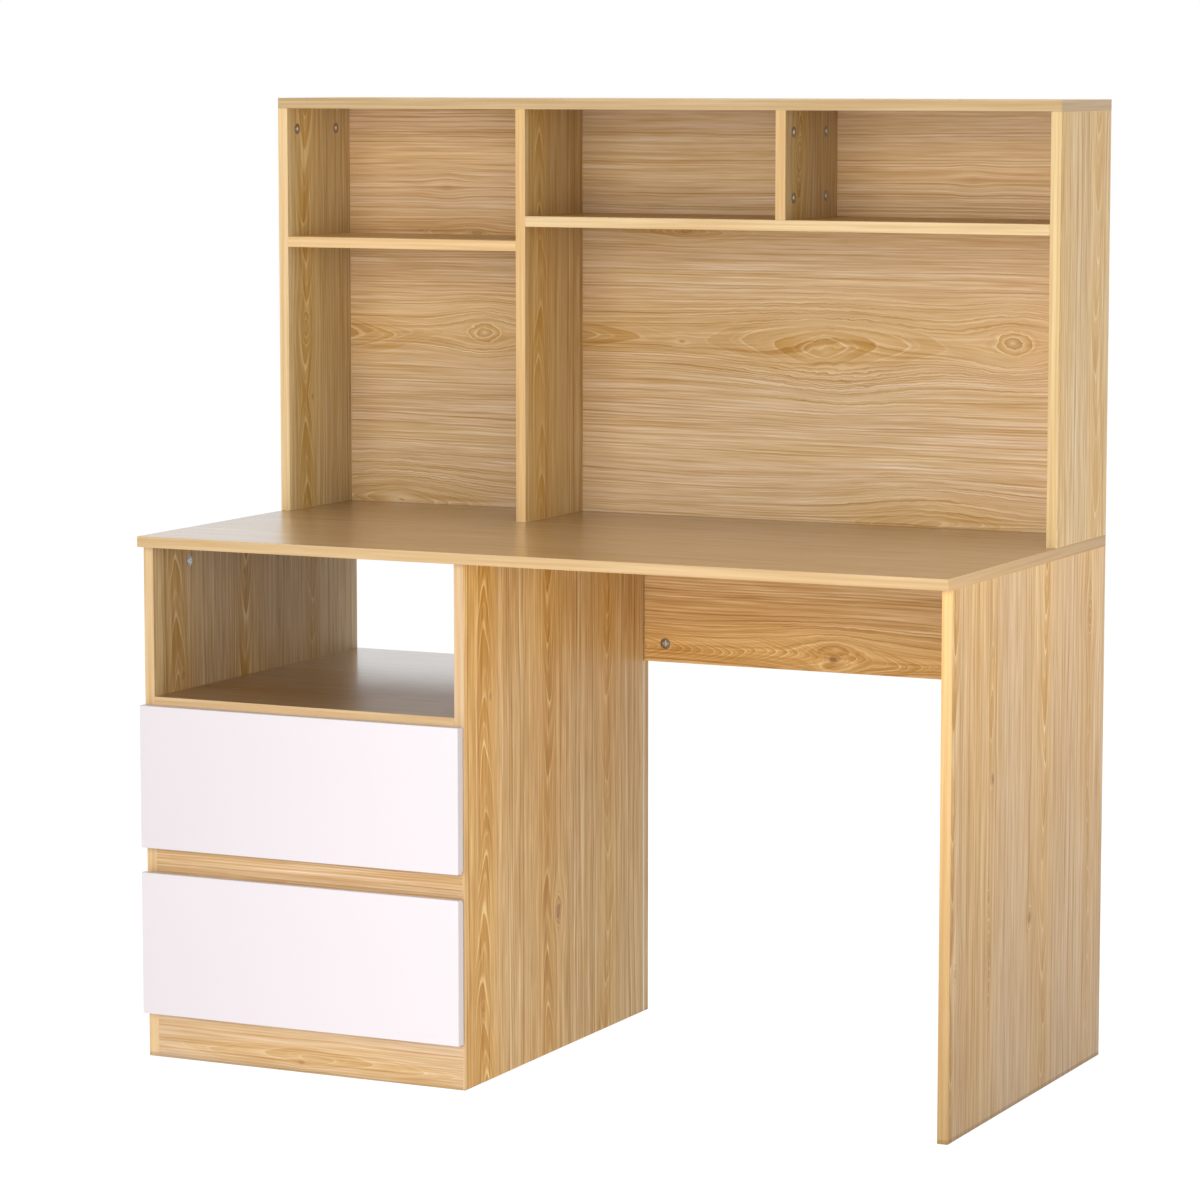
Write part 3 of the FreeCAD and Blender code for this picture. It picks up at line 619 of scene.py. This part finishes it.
# For each way a board lies: the turn that brings its grain along X, then the axes and their signs.
LIES = {
    "upright": ((0, math.pi / 2, 0), (2, 1, 0), (1, 1, -1)),
    "level": ((0, 0, 0), (0, 1, 2), (1, 1, 1)),
    "fascia": ((-math.pi / 2, 0, 0), (0, 2, 1), (1, 1, -1)),
}
OAK = {
    "Light": (0.85, 0.68, 0.49, 1),
    "Wood": (0.70, 0.475, 0.25, 1),
    "Dark": (0.565, 0.33, 0.115, 1),
    "Amber": (0.565, 0.315, 0.08, 1),
    "Ivory": (0.90, 0.73, 0.50, 1),
}
BROWN_OAK = {
    "Light": (0.87, 0.62, 0.36, 1),
    "Wood": (0.72, 0.44, 0.19, 1),
    "Dark": (0.50, 0.255, 0.075, 1),
    "Amber": (0.58, 0.31, 0.09, 1),
    "Ivory": (0.92, 0.69, 0.42, 1),
}
# A paler oak that makes the hutch backs brighter: painted light.
PAINTED_LIGHT_PALE_OAK = {
    "Light": (0.92, 0.77, 0.61, 1),
    "Wood": (0.765, 0.545, 0.32, 1),
    "Dark": (0.595, 0.37, 0.145, 1),
    "Amber": (0.56, 0.315, 0.075, 1),
    "Ivory": (0.95, 0.80, 0.60, 1),
}
BAND = {"Deep": (0.72, 0.48, 0.24, 1), "Pale": (0.86, 0.63, 0.355, 1)}
PLAIN = (1.0, 1.0, 1.0)


def start_finish(name):
    """A new material with a Principled shader: its recipe, its shader and its object coordinates."""
    made = bpy.data.materials.new(name)
    made.use_nodes = True
    made.node_tree.nodes.clear()
    recipe = Recipe(made.node_tree)
    shader = recipe.node("BsdfPrincipled", IOR=COMMON_IOR)
    recipe.tree.links.new(shader.outputs[0], recipe.node("OutputMaterial").inputs["Surface"])
    return made, recipe, shader, recipe.node("TexCoord").outputs["Object"]


def board_space(recipe, place, node, lie):
    """Object coordinates turned and centred on a board, and the board's half sizes in that space."""
    turn, order, signs = LIES[lie]
    low, high = (np.array(corner)[list(order)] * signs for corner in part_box(node))
    middle = (low + high) / 2
    half = np.abs(high - low) / 2
    mapped = recipe.node("Mapping", Vector=place, Rotation=turn, Location=tuple(-middle))
    return mapped.outputs[0], middle, half


dressed = set()


def wear(node, material):
    """Puts a material in every slot of a piece, and notes that the piece is dressed."""
    for slot in nodes[node].material_slots:
        slot.material = material
    dressed.add(node)


def bump(recipe, shader, height, distance, strength=0.5):
    """Gives a shader the relief of a height, so many metres deep where the height is 1."""
    made = recipe.node("Bump", Strength=strength, Distance=distance, Height=height)
    recipe.put(shader.inputs["Normal"], made.outputs[0])


def tinted(colours, tone):
    """The same colours, each multiplied by a tone of red, green and blue."""
    opaque = (*tone, 1.0)
    return {
        name: tuple(part * share for part, share in zip(colour, opaque))
        for name, colour in colours.items()
    }


def oak(node, lie, flames, knots=(), glows=(), waver=8.0, contrast=1.0, sheen=0.42, shine=0.25, coat=0.0,
        coat_roughness=0.2, worn=None, colours=OAK, tone=PLAIN, edge_tone_and_painted_light=PLAIN, end_tone_and_painted_light=PLAIN,
        drift=(0.0, 0.0)):
    """Dresses one board, with sizes in millimetres. A flame is (across, turning point, pitch, width, slope of
    its arches, length, share), with a negative pitch where the arches point at the turning point, and a share
    of 1 if none is given. A knot is (along, across, length, width, push, rings, darkness), the last three as
    shares. A glow is (across, width, share). The tones tint the face, the edge bands and the bands on its
    ends; set board by board, they are partly the board's own colour and partly painted light and shade. Worn
    says where across the board a clear coat is gone and where it is whole, and drift how much lighter the
    board gets in a metre along and across, which is painted light and shade."""
    made, recipe, shader, place = start_finish("oak_" + node)
    shader.inputs["Specular IOR Level"].default_value = shine
    shader.inputs["Coat Roughness"].default_value = coat_roughness
    shader.inputs["Coat IOR"].default_value = COAT_IOR
    board, middle, half = board_space(recipe, place, node, lie)
    seed = 1.0 + BOARD_SEED_STEP * len(dressed)
    field = {"Gold": 0.0, "Cream": 0.0, "Halo": 0.0}
    for count, (across, turn, pitch, width, slope, length, *rich) in enumerate(flames):
        outputs = use(
            recipe, flame, Place=board, Axis=across * MM - middle[1], Turn=turn * MM - middle[0],
            Pitch=abs(pitch) * MM, Way=math.copysign(1.0, pitch), Width=width * MM, Slope=slope,
            Length=length * MM, Rich=rich[0] if rich else 1.0,
            Seed=seed + COLUMN_SEED_STEP * count, **field,
        )
        field = {name: outputs[name] for name in field}
    halo = field.pop("Halo")
    for across, width, strength in glows:
        halo = use(recipe, glow, Place=board, Halo=halo, Axis=across * MM - middle[1], Width=width * MM,
                   Strength=strength)["Halo"]
    field.update(Grain=recipe.split(board)[1], Core=0.0)
    for along, across, length, width, push, rings, darkness in knots:
        outputs = use(
            recipe, knot, Place=board, Centre=(along * MM - middle[0], across * MM - middle[1], 0.0),
            Size=(length * MM, width * MM, EVERY_DEPTH), Push=push, Rings=rings, Dark=darkness, **field,
        )
        field = {name: outputs[name] for name in field}
    # The face colours are multiplied by the board's tone: partly its own colour, partly painted light and
    # shade.
    grain = use(recipe, figure, Place=board, Halo=halo, Lines=LINES_PER_METRE[lie], Waver=waver * MM,
                Contrast=contrast, Seed=seed, **field, **tinted(colours, tone))
    rim = use(recipe, edge, Place=board, Half=tuple(half), Seed=seed)
    raw = use(recipe, chips, Place=board)
    surface_sheen = use(recipe, satin, Place=board, Sheen=sheen, Range=OAK_SHEEN_RANGE)
    # The edge bands get a per-board tone too: partly their own colour, partly painted light and shade.
    lining = recipe.mix(recipe.ease(rim["Streak"], 0.3, 0.7), *tinted(BAND, edge_tone_and_painted_light).values())
    lining = recipe.mix(rim["End"], lining, recipe.vector("MULTIPLY", lining, end_tone_and_painted_light))
    colour = recipe.mix(rim["Edge"], grain["Color"], lining)
    # Painted light and shade: a straight ramp that makes the board lighter or darker by drift per metre.
    painted_light_slant = recipe.vector("DOT_PRODUCT", board, (*drift, 0.0))
    colour = recipe.shade(colour, recipe.calc("ADD", painted_light_slant, 1.0))
    recipe.put(shader.inputs["Base Color"], recipe.mix(rim["Cut"], colour, raw["Color"]))
    recipe.put(shader.inputs["Roughness"], surface_sheen["Roughness"])
    if coat:
        cover = recipe.calc("MULTIPLY_ADD", rim["Edge"], -coat, coat)
        if worn:
            bare, full = (across * MM - middle[1] for across in worn)
            cover = recipe.calc("MULTIPLY", cover, recipe.ease(recipe.split(board)[1], bare, full))
        recipe.put(shader.inputs["Coat Weight"], cover)
    relief = recipe.calc("MULTIPLY_ADD", surface_sheen["Peel"], PEEL_SHARE, grain["Relief"])
    bump(recipe, shader, relief, PRESS_DEPTH)
    wear(node, made)


print("ways a board lies:", ", ".join(LIES))

# %% [markdown]
# ## The hutch boards
#
# The two back boards carry the boldest part of the print: a diamond-shaped eye, a ringed knot beside it and
# long flames. Both were cut from the same print, so the left board repeats the right one further along. The
# uprights have a column or two each.

# %% Dress the hutch
FAR_UP = 3000
FAR_DOWN = -3000
ENDLESS = 9000
BACK_GLOWS = [(1000, 60, 0.6), (1150, 20, 0.5), (1240, 40, 0.4)]

# Tones, edge tones, end tones and drifts here are set board by board: partly each board's own colour, partly
# painted light and shade, such as the darker right shelf in the shade under the top. The backs wear a paler
# oak, which is painted light.
oak("hutch_back_right", "fascia",
    [(986, 182, 50, 26, 1.9, 150, 0.85), (990, -260, 60, 22, 5.0, 170, 0.9),
     (1146, -35, 40, 14, 6.0, 80, 0.7), (738, 340, 30, 24, 4.0, 120, 0.6)],
    [(182, 985, 70, 22, 0.8, 0, 0), (205, 950, 40, 20, 0.5, 0, 0), (467, 997, 32, 19, 0.9, 0.8, 0.2),
     (-41, 987, 9, 4, 0.7, 0.3, 0.5), (-35, 1146, 22, 7, 0.8, 0.5, 0.4), (405, 1222, 14, 8, 0.5, 0.1, 0.05),
     (340, 738, 60, 22, 0.8, 0, 0)],
    BACK_GLOWS, waver=14.0, contrast=1.1, colours=PAINTED_LIGHT_PALE_OAK, drift=(0.25, -0.25))
oak("hutch_back_left", "fascia",
    [(986, -645, 50, 26, 2.8, 150), (990, -700, 60, 22, 5.0, 220, 0.7),
     (1140, -372, 40, 14, 6.0, 80, 0.7), (738, -500, 30, 24, 4.0, 120, 0.6)],
    [(-360, 992, 30, 16, 0.9, 0.8, 0.2), (-372, 1138, 20, 7, 0.8, 0.5, 0.4),
     (-422, 1204, 14, 8, 0.5, 0.1, 0.05), (-500, 738, 60, 22, 0.8, 0, 0)],
    BACK_GLOWS, waver=14.0, contrast=1.1, colours=PAINTED_LIGHT_PALE_OAK, drift=(-0.2, 0.1))
oak("hutch_left_side", "upright", [(151, 905, -70, 22, 2.7, ENDLESS)],
    [(999, 151, 30, 13, 0.8, 0.9, 0.1), (898, 169, 9, 6, 0.6, 0.3, 0.5)],
    tone=(0.98, 1.12, 1.12), edge_tone_and_painted_light=(1.10, 1.11, 1.08), drift=(0.2, -1.0))
oak("hutch_divider", "upright", [(148, FAR_DOWN, 80, 22, 2.7, ENDLESS)],
    tone=(0.92, 0.95, 0.83), edge_tone_and_painted_light=(1.12, 1.05, 0.91), drift=(0.0, -0.5))
oak("hutch_small_divider", "upright", [(150, 1255, 35, 22, 2.5, ENDLESS)],
    [(1255, 150, 26, 15, 0.8, 0.9, 0.1)],
    tone=(0.81, 0.90, 0.91), edge_tone_and_painted_light=(1.08, 1.01, 0.89))
oak("hutch_right_side", "upright",
    [(250, FAR_UP, 80, 20, 2.7, ENDLESS, 0.7), (98, FAR_UP, 120, 16, 4.0, ENDLESS, 0.7)],
    glows=[(110, 40, 0.7)], contrast=1.3, tone=(1.18, 1.22, 1.24), edge_tone_and_painted_light=(1.13, 1.16, 1.08))
oak("hutch_top", "level", [(190, 100, 70, 20, 4.0, 300)], edge_tone_and_painted_light=(0.88, 0.88, 0.86),
    end_tone_and_painted_light=(0.91, 0.93, 1.06))
oak("hutch_left_shelf", "level", [(180, -400, 70, 20, 4.0, 300)], tone=(0.98, 1.07, 1.12),
    edge_tone_and_painted_light=(1.22, 1.17, 1.09))
oak("hutch_right_shelf", "level", [(205, 100, 70, 20, 4.0, 300)], tone=(0.71, 0.70, 0.61),
    edge_tone_and_painted_light=(1.15, 1.19, 1.20))
print("dressed", len(dressed))

# %% [markdown]
# ## The desk boards
#
# The left side and the divider show the same stretch of print: a column of arches pointing up, one whose
# arches point at each other, and one pointing down. The desk top is calmer and a little browner, and shinier
# than the rest, because it is the board that gets wiped. The shelf of the open cubby shines the same way at
# the back, but its front is worn dull by what is slid in and out.

# %% Dress the desk
CABINET_FLAMES = [(-223, FAR_DOWN, 76, 23, 2.7, ENDLESS, 1.5), (-30, 325, -95, 18, 3.4, ENDLESS, 1.4),
                  (160, FAR_UP, 78, 21, 2.7, ENDLESS, 0.8)]
CABINET_GLOWS = [(-260, 60, 1.0), (-25, 60, 0.9), (140, 40, 0.4)]
CABINET_KNOTS = [(530, -205, 12, 7, 0.7, 0.4, 0.5), (102, -230, 14, 10, 0.7, 0.6, 0.4),
                 (660, -33, 12, 6, 0.7, 0.3, 0.5), (200, 2, 24, 13, 0.9, 1.0, 0.6)]
# Tones, edge tones, end tones and drifts here are set board by board: partly each board's own colour, partly
# painted light and shade, such as the lighter divider on the knee side and the darker desk top and cubby
# shelf.
oak("left_side_panel", "upright", CABINET_FLAMES, CABINET_KNOTS, CABINET_GLOWS, contrast=1.3,
    tone=(0.90, 0.96, 1.0), edge_tone_and_painted_light=(1.0, 0.98, 0.97))
oak("cabinet_divider", "upright", CABINET_FLAMES, CABINET_KNOTS, CABINET_GLOWS, contrast=1.4,
    tone=(1.10, 1.08, 0.90), edge_tone_and_painted_light=(0.80, 0.78, 0.82), drift=(0.2, -0.5))
oak("right_side_panel", "upright",
    [(-140, 540, 60, 20, 3.6, 90), (-140, 230, -20, 10, 2.0, 90), (62, FAR_UP, 70, 20, 4.0, ENDLESS),
     (242, 560, -60, 20, 3.5, ENDLESS, 0.5), (-275, FAR_UP, 110, 14, 4.0, ENDLESS)],
    [(455, -133, 14, 7, 0.7, 0.3, 0.9), (247, 12, 18, 12, 0.8, 0.6, 0.8), (630, 240, 28, 13, 0.8, 0.8, 0.05),
     (220, -263, 18, 11, 0.7, 0.5, 0.3)],
    [(-190, 70, 1.0), (-140, 20, 0.9), (40, 60, 0.7)], contrast=1.1, tone=(0.97, 0.95, 0.95),
    edge_tone_and_painted_light=(0.96, 0.86, 0.68), drift=(0.85, 0.05))
oak("modesty_panel", "fascia", [(541, FAR_DOWN, 17, 26, 3.0, ENDLESS)],
    [(200, 541, 60, 16, 0.8, 0, 0), (200, 541, 22, 12, 0.8, 0.5, 0.3), (198, 539, 13, 8, 0.5, 0.0, 0.9)],
    waver=16.0, contrast=1.3, colours=BROWN_OAK, tone=(1.07, 1.14, 1.24), drift=(-0.45, 0.8))
oak("desk_top", "level",
    [(-235, 0, 80, 18, 4.0, 400, 0.4), (-45, 200, 80, 18, 4.0, 400, 0.4), (150, -100, 80, 18, 4.0, 400, 0.4)],
    contrast=1.4, sheen=0.36, shine=0.5, coat=1.0, coat_roughness=0.26, tone=(0.555, 0.53, 0.49),
    edge_tone_and_painted_light=(0.76, 0.73, 0.68), end_tone_and_painted_light=(1.14, 1.02, 0.80), drift=(0.0, -0.6))
SHELF_FLAMES = [(-160, -400, 80, 18, 4.0, 300), (40, -300, 80, 18, 4.0, 300)]
oak("cubby_shelf", "level", SHELF_FLAMES, sheen=0.36, shine=0.5, coat=1.0, coat_roughness=0.16,
    worn=(-150, 200), tone=(0.55, 0.50, 0.44), edge_tone_and_painted_light=(1.0, 0.97, 0.95))
oak("cabinet_bottom", "level", SHELF_FLAMES)
oak("plinth", "fascia", [(22, -330, 60, 14, 6.0, 200, 0.7)], [(-355, 14, 9, 4, 0.7, 0.4, 0.5)],
    tone=(1.0, 1.02, 1.14))
oak("drawer_rail", "fascia", [(330, -300, 60, 16, 5.0, 200)], tone=(1.05, 1.03, 1.04))
print("dressed", len(dressed))

# %% [markdown]
# ## White drawer fronts
#
# The fronts are the same melamine board in white, with a faint rose cast under the studio light. White is
# the hardest finish to keep from looking like plain plastic: what tells is the soft orange peel, the way the
# sheen drifts over the panel, and the edge band, which is a shade greyer than the face.

# %% Dress the drawer fronts
CAST_WAVES = (2.2, 3.1, 3.0)
SPECK_WAVES = (260.0, 260.0, 260.0)
WHITE_SHEEN_RANGE = 0.12
CAST_TONE = 0.035
SPECK_TONE = 0.012
FACE_TONE = 0.976


def white_board(node, lie, face, edge_colour, sheen, slope=(0.0, 0.0)):
    """A white melamine board: a faint drift of tone, greyer banded edges, raw chipboard in its holes. The
    slope says how much lighter it gets in a metre along and across, a painted light ramp."""
    made, recipe, shader, place = start_finish("white_" + node)
    board, _, half = board_space(recipe, place, node, lie)
    drift = recipe.noise(board, CAST_WAVES, detail=3.0)
    speck = recipe.noise(board, SPECK_WAVES)
    tone = recipe.calc("MULTIPLY_ADD", speck, SPECK_TONE, FACE_TONE)
    tone = recipe.calc("MULTIPLY_ADD", drift, CAST_TONE, tone)
    # Painted light: the slope makes the board lighter along a straight ramp.
    tone = recipe.calc("ADD", tone, recipe.vector("DOT_PRODUCT", board, (*slope, 0.0)))
    rim = use(recipe, edge, Place=board, Half=tuple(half), Seed=2.0)
    raw = use(recipe, chips, Place=board)
    colour = recipe.mix(rim["Edge"], recipe.shade(face, tone), recipe.shade(edge_colour, tone))
    recipe.put(shader.inputs["Base Color"], recipe.mix(rim["Cut"], colour, raw["Color"]))
    surface_sheen = use(recipe, satin, Place=board, Sheen=sheen, Range=WHITE_SHEEN_RANGE)
    recipe.put(shader.inputs["Roughness"], surface_sheen["Roughness"])
    bump(recipe, shader, surface_sheen["Peel"], PRESS_DEPTH)
    wear(node, made)


ROSE_WHITE = (0.875, 0.81, 0.835)
ROSE_GREY = (0.80, 0.765, 0.78)
# Painted light on the drawer fronts: lighter to the right and upwards.
FRONT_PAINTED_LIGHT_SLOPE = (0.16, 0.12)
LEVELS = ("upper", "lower")
for level in LEVELS:
    white_board(f"{level}_drawer_front", "fascia", ROSE_WHITE, ROSE_GREY, sheen=0.34, slope=FRONT_PAINTED_LIGHT_SLOPE)
print("dressed", len(dressed))

# %% [markdown]
# ## Drawer boxes and thin boards
#
# The boxes are thinner white board, matt inside. Their bottoms and the cabinet's back are hardboard: one face
# lacquered white, the other left brown with the print of the wire screen it was pressed on.

# %% Dress the drawer boxes and the hardboard
MATT_WHITE = (0.84, 0.825, 0.80)
MATT_GREY = (0.76, 0.745, 0.72)
FIBRE_WAVES = (420.0, 420.0, 420.0)
LACQUER_WAVES = (6.0, 6.0, 6.0)
SCREEN_TURNS = 3500.0
SCREEN_TONE = 0.12
SCREEN_RELIEF = 0.6
FIBRE_ROUGHNESS = 0.85
LACQUER_SMOOTHER = -0.35
FIBRE_DEPTH = 0.0001
FIBRE_BROWNS = ((0.17, 0.085, 0.036, 1), (0.33, 0.185, 0.085, 1))
LACQUER_WHITES = ((0.78, 0.77, 0.745, 1), (0.84, 0.83, 0.81, 1))


def hardboard(node, axis, white_side):
    """Hardboard: white lacquer on one side of its middle plane, brown screen-pressed fibre on the other."""
    made, recipe, shader, place = start_finish("hardboard_" + node)
    low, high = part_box(node)
    middle = (low[axis] + high[axis]) / 2
    depth = recipe.calc("MULTIPLY", recipe.calc("SUBTRACT", recipe.split(place)[axis], middle), white_side)
    lacquered = recipe.calc("GREATER_THAN", depth, 0.0)
    fibre = recipe.noise(place, FIBRE_WAVES, detail=4.0, rough=0.7)
    x, y, z = recipe.split(place)
    weft = recipe.calc("SINE", recipe.calc("MULTIPLY", x, SCREEN_TURNS))
    warp = recipe.calc("SINE", recipe.calc("MULTIPLY", y if axis == 2 else z, SCREEN_TURNS))
    weave = recipe.calc("MULTIPLY", weft, warp)
    screen = recipe.calc("MULTIPLY", weave, recipe.calc("SUBTRACT", 1.0, lacquered))
    brown = recipe.mix(fibre, *FIBRE_BROWNS)
    brown = recipe.shade(brown, recipe.calc("MULTIPLY_ADD", screen, SCREEN_TONE, 1.0))
    white = recipe.mix(recipe.noise(place, LACQUER_WAVES, detail=3.0), *LACQUER_WHITES)
    recipe.put(shader.inputs["Base Color"], recipe.mix(lacquered, brown, white))
    smooth = recipe.calc("MULTIPLY_ADD", lacquered, LACQUER_SMOOTHER, FIBRE_ROUGHNESS)
    recipe.put(shader.inputs["Roughness"], smooth)
    relief = recipe.calc("MULTIPLY_ADD", screen, SCREEN_RELIEF, fibre)
    bump(recipe, shader, relief, FIBRE_DEPTH, strength=0.6)
    wear(node, made)


for level in LEVELS:
    for part in ("left_side", "right_side", "back"):
        lie = "fascia" if part == "back" else "upright"
        white_board(f"{level}_drawer_{part}", lie, MATT_WHITE, MATT_GREY, sheen=0.55)
    hardboard(f"{level}_drawer_bottom", axis=2, white_side=1.0)
hardboard("cabinet_back", axis=1, white_side=-1.0)
print("dressed", len(dressed))

# %% [markdown]
# ## Cam locks
#
# The round locks are die-cast and domed. Their colour is a painted highlight in the middle and painted shade
# towards the rim, and a bump rounds them. All of them are one piece in the frame, so no object's origin marks
# a lock's middle. The script finds the loose solids instead, and the material measures how far each spot is
# from the nearest one.

# %% Dress the cam locks
CAM_RIM = (0.0065, 0.0076)
CAM_PAINTED_GLINT_AND_SHADE = ((0.90, 0.90, 0.89, 1), (0.36, 0.355, 0.35, 1))
CAST_SKIN_WAVES = (700, 700, 700)
CAST_GRAIN = 0.3
CAST_ROUGHNESS = 0.25
CAST_SMEAR = 0.2
CAST_DEPTH = 0.00005
DOME_SLOPE = -0.2
WELD_DIGITS = 6


def islands(node):
    """The middles of a piece's loose solids. Corners in the same place count as one. Each takes the lowest
    number among its neighbours, again and again, until every solid has one number of its own."""
    mesh = nodes[node].data
    ends = np.empty(2 * len(mesh.edges), int)
    mesh.edges.foreach_get("vertices", ends)
    points = np.empty(3 * len(mesh.vertices))
    mesh.vertices.foreach_get("co", points)
    points, weld = np.unique(points.reshape(-1, 3).round(WELD_DIGITS), axis=0, return_inverse=True)
    first, second = weld.ravel()[ends].reshape(-1, 2).T
    label = np.arange(len(points))
    while np.any(label[first] != label[second]):
        lower = np.minimum(label[first], label[second])
        np.minimum.at(label, first, lower)
        np.minimum.at(label, second, lower)
    solids = [points[label == number] for number in np.unique(label)]
    return [tuple((solid.min(axis=0) + solid.max(axis=0)) / 2) for solid in solids]


def cam_finish(node):
    """Die-cast locks: a painted highlight in the middle, painted shade towards the rim, and a dome, all
    following the distance to the nearest lock's middle.
    """
    made, recipe, shader, place = start_finish("cast_zinc")
    shader.inputs["Metallic"].default_value = 1.0
    middles = islands(node)
    near = 1.0
    for middle in middles:
        near = recipe.calc("MINIMUM", near, recipe.vector("LENGTH", recipe.vector("SUBTRACT", place, middle)))
    skin = recipe.noise(place, CAST_SKIN_WAVES, detail=3.0, rough=0.6)
    # Painted highlight in the middle and painted shade towards the rim of each lock.
    colour = recipe.mix(recipe.ease(near, *CAM_RIM), *CAM_PAINTED_GLINT_AND_SHADE)
    grainy = recipe.calc("MULTIPLY_ADD", skin, CAST_GRAIN, 1 - CAST_GRAIN / 2)
    recipe.put(shader.inputs["Base Color"], recipe.shade(colour, grainy))
    recipe.put(shader.inputs["Roughness"], recipe.calc("MULTIPLY_ADD", skin, CAST_SMEAR, CAST_ROUGHNESS))
    dome = recipe.calc("MULTIPLY_ADD", skin, CAST_DEPTH, recipe.calc("MULTIPLY", near, DOME_SLOPE))
    bump(recipe, shader, dome, distance=1.0, strength=0.8)
    wear(node, made)
    print(len(middles), "cam locks")


cam_finish("cam_locks")

# %% [markdown]
# ## Metal: runners, cages, balls and fasteners
#
# The runners are rolled from zinc-plated strip, so their faint scratches run along the travel. Screws and
# bolts have a grainy skin. Both are the same idea: a metal whose colour and roughness are broken up by a
# noise that is stretched, or not, along one direction.

# %% Dress the metal
TARNISH_WAVES = (38.0, 38.0, 38.0)
STREAK_TONE = 0.22
CLOUD_SMEAR = 0.14
STREAK_SMEAR = 0.12


def metal(name, pieces, colour, stain, roughness, waves, grain=0.0001):
    """A metal with streaks: waves says how many streaks fit in a metre along x, y and z."""
    made, recipe, shader, place = start_finish(name)
    shader.inputs["Metallic"].default_value = 1.0
    streak = recipe.noise(place, waves, detail=3.0, rough=0.6)
    cloud = recipe.noise(place, TARNISH_WAVES, detail=3.0, rough=0.55)
    tarnish = recipe.mix(recipe.ease(cloud, 0.35, 0.75), colour, stain)
    streaked = recipe.calc("MULTIPLY_ADD", streak, STREAK_TONE, 1 - STREAK_TONE / 2)
    recipe.put(shader.inputs["Base Color"], recipe.shade(tarnish, streaked))
    smear = recipe.calc("MULTIPLY_ADD", cloud, CLOUD_SMEAR, recipe.calc("MULTIPLY", streak, STREAK_SMEAR))
    mean_smear = (CLOUD_SMEAR + STREAK_SMEAR) / 2
    recipe.put(shader.inputs["Roughness"], recipe.calc("ADD", smear, roughness - mean_smear))
    bump(recipe, shader, streak, grain, strength=0.4)
    for node in pieces:
        wear(node, made)


def named(*words):
    """The nodes not dressed yet whose names hold any of these words."""
    return [n for n in sorted(nodes) if n not in dressed and any(w in n for w in words)]


metal("ball_steel", named("_balls"), (0.80, 0.80, 0.82, 1), (0.66, 0.65, 0.64, 1), roughness=0.16,
      waves=(500, 500, 500), grain=0.00002)
metal("cage_steel", named("cages"), (0.55, 0.56, 0.57, 1), (0.46, 0.44, 0.42, 1), roughness=0.36,
      waves=(300, 12, 300))
metal("runner_steel", named("_rail"), (0.70, 0.71, 0.72, 1), (0.60, 0.61, 0.60, 1), roughness=0.30,
      waves=(420, 6, 420))
metal("zinc", named("cam_", "screws", "fasteners"), (0.72, 0.72, 0.70, 1), (0.60, 0.60, 0.59, 1),
      roughness=0.42, waves=(700, 700, 700))
print("left to dress:", sorted(set(nodes) - dressed))

# %% [markdown]
# ## The last small pieces
#
# A pale extruded strip fills the groove on the knee side of the divider. Fluted beech dowels line the boards
# up, and clear rubber dots keep the drawers from slamming. Small as they are, each has its own surface: fine
# draw lines, ray flecks and a cloudy skin.

# %% Dress the strip, dowels and bumpers
FLECK_SMEAR = 0.2


def small_finish(name, pieces, low, high, roughness, waves, relief):
    """A plain material broken up by one stretched noise between two colours."""
    made, recipe, shader, place = start_finish(name)
    fleck = recipe.noise(place, waves, detail=3.0, rough=0.6)
    recipe.put(shader.inputs["Base Color"], recipe.mix(recipe.ease(fleck, 0.3, 0.7), low, high))
    smear = recipe.calc("MULTIPLY_ADD", fleck, FLECK_SMEAR, roughness - FLECK_SMEAR / 2)
    recipe.put(shader.inputs["Roughness"], smear)
    bump(recipe, shader, fleck, relief)
    for node in pieces:
        wear(node, made)


small_finish("pale_strip", named("groove_strip"), (0.82, 0.80, 0.76, 1), (0.90, 0.885, 0.85, 1),
             roughness=0.42, waves=(900, 900, 8), relief=0.00005)
small_finish("dowel_beech", named("dowel"), (0.52, 0.34, 0.19, 1), (0.70, 0.50, 0.31, 1),
             roughness=0.6, waves=(160, 900, 160), relief=0.0001)
small_finish("bumper_rubber", named("bumper"), (0.58, 0.58, 0.57, 1), (0.72, 0.72, 0.71, 1),
             roughness=0.5, waves=(240, 240, 240), relief=0.00005)
bare = sorted(set(nodes) - dressed)
print("all dressed" if not bare else f"still bare: {bare}")

# %% [markdown] ## Sizes Nothing above moved or reshaped a board, so the dressed desk should
# measure what the frame measures.
